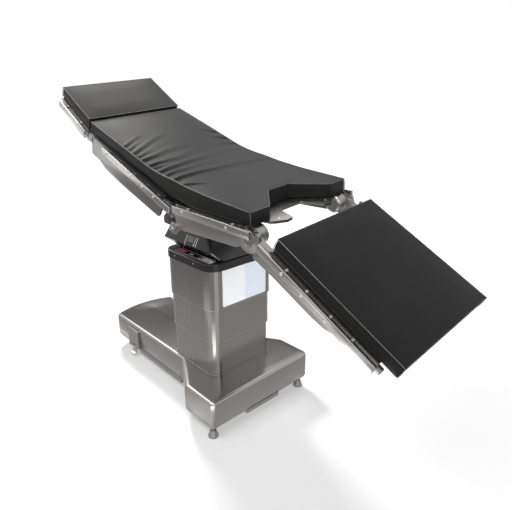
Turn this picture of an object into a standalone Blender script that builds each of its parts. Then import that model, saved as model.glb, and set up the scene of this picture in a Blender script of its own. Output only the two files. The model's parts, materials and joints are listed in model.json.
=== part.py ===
"""Mobile operating table: telescopic column on a T-shaped base, tilting head, jointed top.

Metres, +Z up, +X towards the leg end, -Y the side with the controls. The origin lies on the
floor under the middle of the whole table's box. The table stands in a working position: column
nearly up, top tilted sideways, back and head raised, legs lowered.
"""

import math

import bmesh
import bpy
from mathutils import Matrix, Vector

# Where the column stands from the origin
COLUMN_X = -0.1125
COLUMN_Y = 0.0158

# Clearances
TOUCH_GAP = 0.0003
RUN_GAP = 0.0006
SLIDE_GAP = 0.0008

# Base shell
BASE_HEAD_X = -0.742
BASE_FOOT_X = 0.302
BASE_NARROW_HALF = 0.186
BASE_WIDE_HALF = 0.304
BASE_WIDE_START_X = 0.113
BASE_DIAGONAL_LENGTH = 0.192
BASE_END_BULGE = 0.040
BASE_CORNER_RADIUS = 0.032
BASE_BOTTOM_Z = 0.070
BASE_EDGE_Z = 0.1915
BASE_EDGE_RADIUS = 0.011
BASE_WALL = 0.004
BASE_ROOF_THICKNESS = 0.022
RIDGE_RISE = 0.007
RIDGE_END_GAP = 0.060
CROWN_RISE = 0.0035

# Chassis inside the shell
CHASSIS_INSET = 0.012
CHASSIS_BOTTOM_Z = 0.112
CHASSIS_TOP_Z = 0.150
SKIRT_HEAD_X = -0.505
SKIRT_FOOT_X = -0.105
SKIRT_BOTTOM_Z = 0.032
SKIRT_THICKNESS = 0.008
FRONT_BOX_HALF = 0.100
FRONT_BOX_BOTTOM_Z = 0.040
FRONT_BOX_DEPTH = 0.090

# Floor-lock feet
FOOT_END_X = 0.266
FOOT_END_Y = 0.272
FOOT_HEAD_X = -0.680
FOOT_HEAD_Y = 0.130
FOOT_PAD_RADIUS = 0.023
FOOT_NECK_RADIUS = 0.013
FOOT_PAD_HEIGHT = 0.032
FOOT_STEM_RADIUS = 0.0095
FOOT_STEM_TOP_Z = 0.146

# Castors
CASTOR_HEAD_X = -0.600
CASTOR_HEAD_Y = 0.085
CASTOR_END_X = 0.085
CASTOR_END_Y = 0.110
WHEEL_RADIUS = 0.040
WHEEL_WIDTH = 0.022
WHEEL_FLOOR_GAP = 0.0005
WHEEL_TRAIL = 0.022
AXLE_RADIUS = 0.005
FORK_CHEEK = 0.004
FORK_TOP_RADIUS = 0.024
FORK_PLATE = 0.006
CASTOR_STEM_RADIUS = 0.008
CASTOR_STEM_LENGTH = 0.030

# Latch plate and release lever on the near side of the base
LATCH_X = -0.545
LATCH_WIDTH = 0.104
LATCH_TOP_Z = 0.168
LATCH_BOTTOM_Z = 0.058
LATCH_THICKNESS = 0.008
LEVER_WIDTH = 0.034
LEVER_PIVOT_Z = 0.064
LEVER_LENGTH = 0.036
LEVER_THICKNESS = 0.010
LEVER_TRUNNION_RADIUS = 0.0022
LEVER_TRUNNION_LENGTH = 0.004

# Column shrouds: half sizes of the lowest one, and the steps outwards to the next
SHROUD_HALF_X = 0.163
SHROUD_HALF_Y = 0.175
SHROUD_STEP = 0.0062
SHROUD_WALL = 0.0022
SHROUD_CORNER = 0.045
SHROUD_LIP = 0.010
SEAM_FLANGE_HEIGHT = 0.004
SEAM_FLANGE_REACH = 0.0028
LOWER_SHROUD_TOP_Z = 0.385
MIDDLE_SHROUD_BOTTOM_Z = 0.361
MIDDLE_SHROUD_TOP_Z = 0.545
TOP_SHROUD_BOTTOM_Z = 0.519
TOP_SHROUD_TOP_Z = 0.704

# Lift ram inside the shrouds
CYLINDER_RADIUS = 0.062
CYLINDER_WALL = 0.007
CYLINDER_BOTTOM_Z = 0.028
CYLINDER_TOP_Z = 0.383
CYLINDER_FLOOR = 0.008
RAM_WALL = 0.008
RAM_BOTTOM_Z = 0.353

# Column cap and its control panel
CAP_OVERHANG = 0.0055
CAP_TOP_Z = 0.735
CAP_EDGE_RADIUS = 0.006
CAP_PLATE = 0.012
CAP_SEAT_GAP = 0.0003
PANEL_X = 0.028
PANEL_LENGTH = 0.256
PANEL_Y = -0.158
PANEL_WIDTH = 0.044
PANEL_THICKNESS = 0.0025
PANEL_CORNER = 0.012
KEY_COUNT = 4
KEY_FIRST_X = 0.077
KEY_PITCH = 0.0205
KEY_LENGTH = 0.0150
KEY_WIDTH = 0.0170
KEY_RISE = 0.0028
KEY_STEM_RADIUS = 0.0045
KEY_STEM_DEPTH = 0.0075
LAMP_RADIUS = 0.006
LAMP_X = 0.152
LAMP_Y = -0.108
LAMP_HEIGHT = 0.012

# Column head, pitch axis and roll axis
PITCH_AXIS_Z = 0.800
ROLL_AXIS_RISE = 0.080
REST_PITCH = math.radians(1.75)
REST_TILT = math.radians(5.83)
HEAD_BLOCK_HALF_X = 0.045
HEAD_BLOCK_HALF_Y = 0.070
HEAD_FLOOR_Z = 0.750
EAR_THICKNESS = 0.018
EAR_RADIUS = 0.034
PITCH_PIN_RADIUS = 0.016
CRADLE_HALF_X = 0.040
CRADLE_HUB_RADIUS = 0.030
CRADLE_SHAFT_RADIUS = 0.016
CRADLE_SHAFT_REACH = 0.096
HUB_RADIUS = 0.029
HUB_LENGTH = 0.024
CARRIAGE_PLATE = 0.010
CARRIAGE_TOP_Z = 0.1332
CARRIAGE_FOOT_X = 0.240
CARRIAGE_HALF_Y = 0.150
CARRIAGE_WEB_Y = 0.100

# Rubber boot between cap and top
BOOT_WALL = 0.004
BOOT_WAIST_X = 0.130
BOOT_WAIST_Y = 0.126
BOOT_FOLD_X = 0.200
BOOT_FOLD_Y = 0.176
BOOT_FOLD_Z = 0.782
BOOT_TOP_X = 0.172
BOOT_TOP_Y = 0.158
BOOT_TOP_Z = 0.838
BOOT_CORNER = 0.022

# Top: heights above the roll axis, in the tilted frame of the seat
SEAT_TOP_Z = 0.1435
PLATE_THICKNESS = 0.010
INNER_FACE_Y = 0.2377
INNER_OUTER_Y = 0.2497
OUTER_INNER_Y = 0.2500
OUTER_FACE_Y = 0.2620
RAIL_OUTER_Y = 0.2850
RAIL_THICKNESS = 0.0095
RAIL_HEIGHT = 0.0320
RAIL_RISE = 0.0012
RAIL_END_RADIUS = 0.004
STANDOFF_RADIUS = 0.0085
PIN_RADIUS = 0.012
EAR_EYE_RADIUS = 0.030

# Seat section
BACK_AXIS_X = 0.008
BACK_AXIS_Z = 0.095
LEG_AXIS_X = 0.488
LEG_AXIS_Z = 0.105
BEAM_HEAD_X = 0.055
BEAM_HEAD_BOTTOM_Z = 0.034
BEAM_FOOT_X = 0.410
BEAM_FOOT_BOTTOM_Z = 0.0535
PIVOT_X = 0.034
PIVOT_Z = 0.032
PIVOT_RADIUS = 0.016
PIVOT_EYE_RADIUS = 0.027
SEAT_RAIL_HEAD_X = 0.0758
SEAT_RAIL_FOOT_X = 0.5200
SEAT_PLATE_HEAD_X = 0.068
PLATE_SHOULDER_X = 0.444
PLATE_EAR_X = 0.541
PLATE_EAR_OUTER_Y = 0.180
PLATE_EAR_INNER_Y = 0.088
PLATE_NOTCH_X = 0.442
PLATE_NOTCH_HALF = 0.058
LEG_DRUM_RADIUS = 0.036
LEG_DRUM_INNER_Y = 0.190
BACK_DRUM_X = 0.008
BACK_DRUM_Z = 0.095
BACK_DRUM_RADIUS = 0.034
BACK_DRUM_INNER_Y = 0.190
EAR_SHOULDER_X = 0.060
EAR_REACH_X = 0.110
ARM_START_X = 0.042
DRUM_BRACKET_HALF = 0.018
LEG_BRACKET_REACH = 0.075
BACK_BRACKET_REACH = 0.085
BEND_CREST_HEAD_X = -0.042

# Pads
PAD_HALF_WIDTH = 0.254
PAD_THICKNESS = 0.0525
SEAT_PAD_FOOT_X = 0.4990
SEAT_PAD_HEAD_X = 0.154
SEAT_PAD_HEAD_TOP = 0.2228
SEAT_PAD_MIDDLE_X = 0.284
SEAT_PAD_MIDDLE_TOP = 0.2097
PAD_NOTCH_MOUTH_HALF = 0.163
PAD_NOTCH_BACK_HALF = 0.055
PAD_NOTCH_DEPTH = 0.118
BEND_CREST_X = -0.030
BEND_CREST_TOP = 0.2500
BEND_CREST_LIFT = 0.0260

# Back section, in its own flat frame with the hinge at the origin
REST_BACK = math.radians(20.0)
HEAD_AXIS_X = -0.6586
HEAD_AXIS_DROP = 0.025
BACK_PLATE_FOOT_X = -0.045
BACK_PLATE_HEAD_X = -0.630
BACK_SIDE_FOOT_X = -0.085
BACK_SIDE_FOOT_Z = -0.0725
BACK_SIDE_STEP_X = -0.565
BACK_SIDE_STEP_Z = -0.071
BACK_SIDE_STEP_RISE = 0.016
BACK_SIDE_HEAD_X = -0.640
BACK_RAIL_FOOT_X = 0.030
BACK_EAR_RADIUS = 0.028
BACK_RAIL_HEAD_X = -0.515
BACK_PAD_HEAD_X = -0.6675
BACK_PAD_FOOT_X = -0.1750
BACK_PAD_HEAD_TOP = 0.1000
BACK_PAD_FOOT_TOP = 0.1195
BACK_PAD_LIFT_X = -0.420
BACK_PAD_FOOT_LIFT = 0.0190

# Head section, in its own flat frame with the hinge at the origin
REST_HEAD = math.radians(10.5)
HEAD_FRAME_HEAD_X = -0.315
HEAD_FRAME_FOOT_X = -0.034
HEAD_ARM_DEPTH = 0.030
HEAD_EYE_RADIUS = 0.0245
HEAD_RAIL_HEAD_X = -0.2934
HEAD_RAIL_FOOT_X = -0.0300
HEAD_PAD_HEAD_X = -0.3185
HEAD_PAD_FOOT_X = -0.0430

# Leg section, in its own flat frame with the hinge at the origin
REST_LEG = math.radians(29.0)
LEG_ARM_END_X = 0.575
LEG_ARM_STEP_X = 0.360
LEG_ARM_NARROW = 0.024
LEG_EYE_RADIUS = 0.031
LEG_RAIL_START_X = 0.060
LEG_RAIL_END_X = 0.575
LEG_PLATE_START_X = 0.100
LEG_PLATE_END_X = 0.570
LEG_PAD_START_X = 0.1026
LEG_PAD_END_X = 0.6280

ROUND_STEPS = 28
SMALL_ROUND_STEPS = 16
SMOOTH_ANGLE = math.radians(35)


def clear_scene():
    for thing in list(bpy.data.objects):
        bpy.data.objects.remove(thing, do_unlink=True)


def make_material(name, colour, roughness, metallic):
    made = bpy.data.materials.new(name)
    made.use_nodes = True
    shader = made.node_tree.nodes["Principled BSDF"]
    shader.inputs["Base Color"].default_value = (*colour, 1.0)
    shader.inputs["Roughness"].default_value = roughness
    shader.inputs["Metallic"].default_value = metallic
    return made


def brushed_steel(name):
    return make_material(name, (0.45, 0.44, 0.42), 0.34, 1.0)


def bright_steel(name):
    return make_material(name, (0.62, 0.61, 0.60), 0.22, 1.0)


def cast_grey(name):
    return make_material(name, (0.40, 0.39, 0.38), 0.42, 0.9)


def black_vinyl(name):
    return make_material(name, (0.018, 0.018, 0.018), 0.42, 0.0)


def black_plastic(name):
    return make_material(name, (0.025, 0.025, 0.027), 0.35, 0.0)


def rubber(name):
    return make_material(name, (0.05, 0.05, 0.05), 0.7, 0.0)


def empty(name, location, rotation=(0.0, 0.0, 0.0), parent=None):
    made = bpy.data.objects.new(name, None)
    bpy.context.scene.collection.objects.link(made)
    made.location = location
    made.rotation_euler = rotation
    made.parent = parent
    return made


def add_object(name, shape, surface, parent=None, location=(0.0, 0.0, 0.0)):
    """Link a bmesh as a named object, smooth where it is round."""
    bmesh.ops.recalc_face_normals(shape, faces=shape.faces[:])
    mesh = bpy.data.meshes.new(name)
    shape.to_mesh(mesh)
    shape.free()
    mesh.shade_smooth()
    mesh.set_sharp_from_angle(angle=SMOOTH_ANGLE)
    made = bpy.data.objects.new(name, mesh)
    bpy.context.scene.collection.objects.link(made)
    made.parent = parent
    made.location = location
    if surface:
        mesh.materials.append(surface)
    return made


def combine(target, other_shape, operation, label):
    """Cut another shape out of an object, or join it on, with a live Boolean."""
    other = add_object(target.name + "_" + label, other_shape, None, target.parent, target.location)
    other.hide_render = True
    other.display_type = "WIRE"
    step = target.modifiers.new(label, "BOOLEAN")
    step.operation = operation
    step.solver = "EXACT"
    step.object = other


def cut(target, shape, label):
    combine(target, shape, "DIFFERENCE", label)


def join(target, shape, label):
    combine(target, shape, "UNION", label)


def prism(outline, low, high, plane="xy"):
    """A closed solid: a flat outline carried along the axis that its plane lacks."""
    places = {
        "xy": lambda a, b, t: (a, b, t),
        "xz": lambda a, b, t: (a, t, b),
        "yz": lambda a, b, t: (t, a, b),
    }[plane]
    shape = bmesh.new()
    first = [shape.verts.new(places(a, b, low)) for a, b in outline]
    last = [shape.verts.new(places(a, b, high)) for a, b in outline]
    shape.faces.new(first)
    shape.faces.new(last)
    count = len(outline)
    for i in range(count):
        j = (i + 1) % count
        shape.faces.new((first[i], first[j], last[j], last[i]))
    bmesh.ops.recalc_face_normals(shape, faces=shape.faces[:])
    return shape


def box(low, high):
    corners = [(low[0], low[1]), (high[0], low[1]), (high[0], high[1]), (low[0], high[1])]
    return prism(corners, low[2], high[2])


def disc(radius, low, high, axis="z", centre=(0.0, 0.0), steps=ROUND_STEPS):
    """A round bar along one axis; centre is given in the two other directions, in order."""
    plane = {"z": "xy", "y": "xz", "x": "yz"}[axis]
    turn = 2.0 * math.pi / steps
    outline = [
        (centre[0] + radius * math.cos(turn * i), centre[1] + radius * math.sin(turn * i))
        for i in range(steps)
    ]
    return prism(outline, low, high, plane)


def rounded(points, radius, steps=4):
    """The same outline with its corners turned into arcs; radius is one value or one for each."""
    count = len(points)
    radii = radius if isinstance(radius, (list, tuple)) else [radius] * count
    result = []
    for i in range(count):
        here = Vector(points[i])
        to_last = (Vector(points[i - 1]) - here).normalized()
        to_next = (Vector(points[(i + 1) % count]) - here).normalized()
        if radii[i] <= 0.0:
            result.append(tuple(here))
            continue
        half = to_last.angle(to_next) / 2.0
        reach = radii[i] / math.tan(half)
        centre = here + (to_last + to_next).normalized() * (radii[i] / math.sin(half))
        start = here + to_last * reach - centre
        end = here + to_next * reach - centre
        sweep = start.angle_signed(end)
        for k in range(steps + 1):
            turned = Matrix.Rotation(-sweep * k / steps, 2) @ start
            result.append(tuple(centre + turned))
    return result


def rounded_box_outline(half_x, half_y, radius, steps=5):
    corners = [(-half_x, -half_y), (half_x, -half_y), (half_x, half_y), (-half_x, half_y)]
    return rounded(corners, radius, steps)


def ring_between(outer, inner, low, high):
    """A tube between two outlines with the same number of points."""
    shape = bmesh.new()
    rows = [
        [shape.verts.new((x, y, z)) for x, y in outline]
        for outline, z in ((outer, low), (outer, high), (inner, high), (inner, low))
    ]
    bridge_rows(shape, rows, closed=True)
    return shape


def bridge_rows(shape, rows, closed):
    count = len(rows[0])
    pairs = list(zip(rows, rows[1:]))
    if closed:
        pairs.append((rows[-1], rows[0]))
    for row, following in pairs:
        for i in range(count):
            j = (i + 1) % count
            shape.faces.new((row[i], row[j], following[j], following[i]))


def turned(profile, centre=(0.0, 0.0), steps=ROUND_STEPS, axis="z"):
    """A solid of revolution; profile runs (radius, height) from one point on the axis to another."""
    shape = bmesh.new()
    rows = []
    for radius, height in profile:
        row = []
        for i in range(steps if radius > 0.0 else 1):
            angle = 2.0 * math.pi * i / steps
            a = centre[0] + radius * math.cos(angle)
            b = centre[1] + radius * math.sin(angle)
            place = (a, b, height) if axis == "z" else (a, height, b)
            row.append(shape.verts.new(place))
        rows.append(row)
    for row, following in zip(rows, rows[1:]):
        for i in range(steps):
            j = (i + 1) % steps
            if len(row) == 1:
                shape.faces.new((row[0], following[j], following[i]))
            elif len(following) == 1:
                shape.faces.new((row[i], row[j], following[0]))
            else:
                shape.faces.new((row[i], row[j], following[j], following[i]))
    bmesh.ops.recalc_face_normals(shape, faces=shape.faces[:])
    return shape


def base_outline(inset=0.0):
    """T-shaped plan of the base, corners rounded, the head end bowed outwards."""
    narrow = BASE_NARROW_HALF - inset
    wide = BASE_WIDE_HALF - inset
    head = BASE_HEAD_X + inset
    foot = BASE_FOOT_X - inset
    wide_start = BASE_WIDE_START_X + inset
    diagonal_start = BASE_WIDE_START_X - BASE_DIAGONAL_LENGTH + inset
    corner = max(BASE_CORNER_RADIUS - inset, 0.004)
    near = [(head, -narrow), (diagonal_start, -narrow), (wide_start, -wide), (foot, -wide)]
    far = [(x, -y) for x, y in reversed(near)]
    end = [(head - BASE_END_BULGE * (1.0 - (k / 3.0) ** 2), -narrow * k / 3.0) for k in (-2, -1, 0, 1, 2)]
    corners = near + far + end
    radii = [corner, corner, corner, corner, corner, corner, corner, corner, 0, 0, 0, 0, 0]
    return rounded(corners, radii, 4)


def build_base_shell(surface):
    """Pressed steel hood: thin walls, a soft rolled top edge and a shallow roof along the middle."""
    shape = bmesh.new()
    rolled = [(0.0, BASE_BOTTOM_Z), (0.0, BASE_EDGE_Z - BASE_EDGE_RADIUS)]
    for k in (1, 2, 3):
        angle = math.radians(30.0 * k)
        rolled.append((
            BASE_EDGE_RADIUS * (1.0 - math.cos(angle)),
            BASE_EDGE_Z - BASE_EDGE_RADIUS * (1.0 - math.sin(angle)),
        ))
    rows = []
    for inset, height in rolled:
        rows.append([shape.verts.new((x, y, height)) for x, y in base_outline(inset)])
    bridge_rows(shape, rows, closed=False)
    shape.faces.new(list(reversed(rows[0])))
    shape.faces.new(rows[-1])
    shell = add_object("base_shell", shape, surface, COLUMN)
    ridge = roof_shape()
    join(shell, ridge, "roof")
    inner = prism(
        base_outline(BASE_WALL), BASE_BOTTOM_Z - 0.02, BASE_EDGE_Z - BASE_ROOF_THICKNESS
    )
    cut(shell, inner, "hollow")
    well = disc(CYLINDER_RADIUS + RUN_GAP, BASE_BOTTOM_Z, BASE_EDGE_Z + 0.05)
    cut(shell, well, "cylinder_hole")
    return shell


def roof_shape():
    """The crowned top: a low ridge that runs from the column towards the head end."""
    ridge_z = BASE_EDGE_Z + RIDGE_RISE
    sink = BASE_EDGE_Z - 0.002
    head = BASE_HEAD_X + RIDGE_END_GAP
    foot = -SHROUD_HALF_X - 0.012
    half = BASE_NARROW_HALF - BASE_EDGE_RADIUS - 0.006
    shape = bmesh.new()
    low = [shape.verts.new((x, y, sink)) for x, y in ((head, -half), (foot, -half), (foot, half), (head, half))]
    tip = shape.verts.new((head + 0.05, 0.0, ridge_z))
    root = shape.verts.new((foot, 0.0, ridge_z))
    shape.faces.new(low)
    shape.faces.new((low[0], low[1], root, tip))
    shape.faces.new((low[2], low[3], tip, root))
    shape.faces.new((low[1], low[2], root))
    shape.faces.new((low[3], low[0], tip))
    return shape


def build_chassis(surface):
    """Welded steel floor of the base, with the skirts that hang below the hood."""
    outline = base_outline(BASE_WALL + CHASSIS_INSET)
    chassis = add_object("base_chassis", prism(outline, CHASSIS_BOTTOM_Z, CHASSIS_TOP_Z), surface, COLUMN)
    skirt_outer = BASE_NARROW_HALF - BASE_WALL - 0.002
    plate_overlap = CHASSIS_BOTTOM_Z + 0.004
    for side, label in ((-1, "near"), (1, "far")):
        y_outer = side * skirt_outer
        y_inner = side * (skirt_outer - SKIRT_THICKNESS - CHASSIS_INSET)
        low = (SKIRT_HEAD_X, min(y_outer, y_inner), SKIRT_BOTTOM_Z)
        high = (SKIRT_FOOT_X, max(y_outer, y_inner), plate_overlap)
        join(chassis, box(low, high), "skirt_" + label)
    front = BASE_FOOT_X - BASE_WALL - 0.002
    join(chassis, box(
        (front - FRONT_BOX_DEPTH, -FRONT_BOX_HALF, FRONT_BOX_BOTTOM_Z),
        (front, FRONT_BOX_HALF, plate_overlap)), "front_box")
    cut(chassis, disc(CYLINDER_RADIUS + TOUCH_GAP, 0.0, 0.3), "cylinder_hole")
    for name, x, y in FEET:
        cut(chassis, disc(FOOT_STEM_RADIUS + RUN_GAP, 0.0, 0.3, centre=(x, y),
            steps=SMALL_ROUND_STEPS), name + "_hole")
    for name, x, y in CASTORS:
        bore = CASTOR_STEM_RADIUS + RUN_GAP
        top = CHASSIS_BOTTOM_Z + CASTOR_STEM_LENGTH + 0.002
        cut(chassis, disc(bore, 0.0, top, centre=(x, y), steps=SMALL_ROUND_STEPS), name + "_hole")
    return chassis


def build_foot(name, x, y, surface):
    """Floor-lock foot: a conical rubber pad on a steel stem that slides in the chassis."""
    profile = [
        (0.0, 0.0), (FOOT_PAD_RADIUS, 0.0), (FOOT_PAD_RADIUS, 0.006),
        (FOOT_NECK_RADIUS, FOOT_PAD_HEIGHT), (FOOT_STEM_RADIUS, FOOT_PAD_HEIGHT),
        (FOOT_STEM_RADIUS, FOOT_STEM_TOP_Z), (0.0, FOOT_STEM_TOP_Z),
    ]
    return add_object(name, turned(profile, steps=SMALL_ROUND_STEPS), surface, COLUMN, (x, y, 0.0))


def build_castor(name, x, y, fork_surface, wheel_surface):
    """Swivelling twin-cheek castor: the fork trails its wheel towards the head end."""
    swivel = empty(name + "_swivel", (x, y, 0.0), parent=COLUMN)
    axle_z = WHEEL_FLOOR_GAP + WHEEL_RADIUS
    top_z = CHASSIS_BOTTOM_Z - TOUCH_GAP
    inner = WHEEL_WIDTH / 2.0 + RUN_GAP * 2.0
    outer = inner + FORK_CHEEK
    crown = disc(FORK_TOP_RADIUS, top_z - FORK_PLATE, top_z, steps=SMALL_ROUND_STEPS)
    fork = add_object(name + "_fork", crown, fork_surface, swivel)
    cheek = rounded([
        (-WHEEL_TRAIL - 0.011, axle_z - 0.011), (-WHEEL_TRAIL + 0.011, axle_z - 0.011),
        (0.014, top_z - FORK_PLATE / 2.0), (-0.020, top_z - FORK_PLATE / 2.0),
    ], [0.008, 0.008, 0, 0], 3)
    for side, label in ((-1, "near"), (1, "far")):
        faces = sorted((side * inner, side * outer))
        join(fork, prism(cheek, faces[0], faces[1], "xz"), "cheek_" + label)
    join(fork, disc(AXLE_RADIUS, -outer + 0.001, outer - 0.001, "y", (-WHEEL_TRAIL, axle_z), 12), "axle")
    join(fork, disc(CASTOR_STEM_RADIUS, top_z - 0.002, CHASSIS_BOTTOM_Z + CASTOR_STEM_LENGTH,
        steps=SMALL_ROUND_STEPS), "stem")
    bore = AXLE_RADIUS + SLIDE_GAP
    tread = [
        (bore, -WHEEL_WIDTH / 2.0), (WHEEL_RADIUS * 0.55, -WHEEL_WIDTH / 2.0),
        (WHEEL_RADIUS * 0.62, -WHEEL_WIDTH * 0.38), (WHEEL_RADIUS * 0.8, -WHEEL_WIDTH / 2.0),
        (WHEEL_RADIUS - 0.003, -WHEEL_WIDTH / 2.0), (WHEEL_RADIUS, -WHEEL_WIDTH * 0.3),
    ]
    full = tread + [(radius, -height) for radius, height in reversed(tread)]
    wheel = bmesh.new()
    rows = []
    for radius, height in full:
        rows.append([wheel.verts.new((
            radius * math.cos(2.0 * math.pi * i / ROUND_STEPS), height,
            radius * math.sin(2.0 * math.pi * i / ROUND_STEPS))) for i in range(ROUND_STEPS)])
    bridge_rows(wheel, rows, closed=True)
    add_object(name + "_wheel", wheel, wheel_surface, swivel, (-WHEEL_TRAIL, 0.0, axle_z))


def build_latch(surface, lever_surface):
    """Cover plate on the near side of the base, with a small release lever under it."""
    face = -BASE_NARROW_HALF - TOUCH_GAP
    half = LATCH_WIDTH / 2.0
    outline = rounded([
        (LATCH_X - half, LATCH_BOTTOM_Z), (LATCH_X + half, LATCH_BOTTOM_Z),
        (LATCH_X + half, LATCH_TOP_Z), (LATCH_X - half, LATCH_TOP_Z)], 0.006, 3)
    plate = prism(outline, face - LATCH_THICKNESS, face, "xz")
    latch = add_object("latch_plate", plate, surface, COLUMN)
    slot = LEVER_WIDTH / 2.0 + TOUCH_GAP
    cut(latch, box(
        (LATCH_X - slot, face - LATCH_THICKNESS - 0.01, LATCH_BOTTOM_Z - 0.01),
        (LATCH_X + slot, face + 0.01, LEVER_PIVOT_Z + 0.012)), "lever_slot")
    pivot_y = face - LATCH_THICKNESS / 2.0
    reach = LEVER_WIDTH / 2.0 + LEVER_TRUNNION_LENGTH
    cut(latch, disc(LEVER_TRUNNION_RADIUS + TOUCH_GAP, LATCH_X - reach - TOUCH_GAP, LATCH_X + reach + TOUCH_GAP,
        "x", (pivot_y, LEVER_PIVOT_Z), 12), "trunnion_hole")
    lever_half = LEVER_WIDTH / 2.0
    side = [
        (0.0028, 0.0028), (-0.0028, 0.0028), (-0.0028, -0.004), (-LEVER_THICKNESS * 0.6, -LEVER_LENGTH),
        (-LEVER_THICKNESS * 1.8, -LEVER_LENGTH - 0.004), (-LEVER_THICKNESS * 1.8, -LEVER_LENGTH - 0.010),
        (0.002, -LEVER_LENGTH - 0.006), (0.0028, -0.004),
    ]
    lever = add_object("release_lever", prism(side, -lever_half, lever_half, "yz"), lever_surface, COLUMN,
        (LATCH_X, pivot_y, LEVER_PIVOT_Z))
    join(lever, disc(LEVER_TRUNNION_RADIUS, -reach, reach, "x", steps=12), "trunnions")


def shroud_outline(step, inset=0.0):
    """Outer outline of a shroud; step 0 is the lowest and smallest one."""
    grow = step * SHROUD_STEP - inset
    return rounded_box_outline(SHROUD_HALF_X + grow, SHROUD_HALF_Y + grow, SHROUD_CORNER + grow)


def build_lower_shroud(surface):
    bottom = BASE_EDGE_Z + TOUCH_GAP
    shell = ring_between(shroud_outline(0), shroud_outline(0, SHROUD_WALL), bottom, LOWER_SHROUD_TOP_Z)
    shroud = add_object("lower_shroud", shell, surface, COLUMN)
    flange = ring_between(shroud_outline(0, -SEAM_FLANGE_REACH), shroud_outline(0, SHROUD_WALL / 2.0),
        bottom, bottom + SEAM_FLANGE_HEIGHT)
    join(shroud, flange, "flange")
    return shroud


def build_sliding_shroud(name, step, low, high, surface):
    """A moving shroud: its lower edge turns in to wipe along the shroud inside it."""
    shell = ring_between(shroud_outline(step), shroud_outline(step, SHROUD_WALL), low, high)
    shroud = add_object(name, shell, surface, COLUMN)
    lip = ring_between(shroud_outline(step, SHROUD_WALL / 2.0), shroud_outline(step - 1, -SLIDE_GAP),
        low, low + SHROUD_LIP)
    join(shroud, lip, "wiper_lip")
    return shroud


def build_lift(cylinder_surface, ram_surface):
    """The lift: a cylinder fixed in the chassis, and the ram that carries the column head."""
    bore = CYLINDER_RADIUS - CYLINDER_WALL
    profile = [
        (0.0, CYLINDER_BOTTOM_Z), (CYLINDER_RADIUS, CYLINDER_BOTTOM_Z), (CYLINDER_RADIUS, CYLINDER_TOP_Z),
        (bore, CYLINDER_TOP_Z), (bore, CYLINDER_BOTTOM_Z + CYLINDER_FLOOR),
        (0.0, CYLINDER_BOTTOM_Z + CYLINDER_FLOOR),
    ]
    add_object("lift_cylinder", turned(profile), cylinder_surface, COLUMN)
    outer = bore - SLIDE_GAP
    top = TOP_SHROUD_TOP_Z - TOUCH_GAP
    ram = [
        (0.0, RAM_BOTTOM_Z), (outer, RAM_BOTTOM_Z), (outer, top), (0.0, top),
    ]
    add_object("lift_ram", turned(ram), ram_surface, COLUMN)


def build_cap(surface):
    """Moulded cover that closes the column and carries the controls."""
    def outline(inset):
        return shroud_outline(2, inset - CAP_OVERHANG)
    shape = bmesh.new()
    skirt_low = TOP_SHROUD_TOP_Z - 0.004
    levels = [
        (0.0, skirt_low), (0.0, CAP_TOP_Z - CAP_EDGE_RADIUS),
        (CAP_EDGE_RADIUS * 0.3, CAP_TOP_Z - CAP_EDGE_RADIUS * 0.3), (CAP_EDGE_RADIUS, CAP_TOP_Z),
    ]
    rows = [[shape.verts.new((x, y, z)) for x, y in outline(inset)] for inset, z in levels]
    bridge_rows(shape, rows, closed=False)
    shape.faces.new(list(reversed(rows[0])))
    shape.faces.new(rows[-1])
    cap = add_object("column_cap", shape, surface, COLUMN)
    pocket = prism(shroud_outline(2, -CAP_SEAT_GAP), skirt_low - 0.01, TOP_SHROUD_TOP_Z + CAP_SEAT_GAP)
    cut(cap, pocket, "shroud_pocket")
    neck = box(
        (-HEAD_BLOCK_HALF_X - RUN_GAP, -HEAD_BLOCK_HALF_Y - RUN_GAP, skirt_low - 0.02),
        (HEAD_BLOCK_HALF_X + RUN_GAP, HEAD_BLOCK_HALF_Y + RUN_GAP, CAP_TOP_Z + 0.02))
    cut(cap, neck, "neck_hole")
    for index in range(KEY_COUNT):
        x = KEY_FIRST_X + index * KEY_PITCH
        cut(cap, disc(KEY_STEM_RADIUS + RUN_GAP * 2.0, CAP_TOP_Z - KEY_STEM_DEPTH - 0.003,
            CAP_TOP_Z + 0.01, centre=(x, PANEL_Y), steps=SMALL_ROUND_STEPS), "key_well_%d" % index)
    return cap


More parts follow.
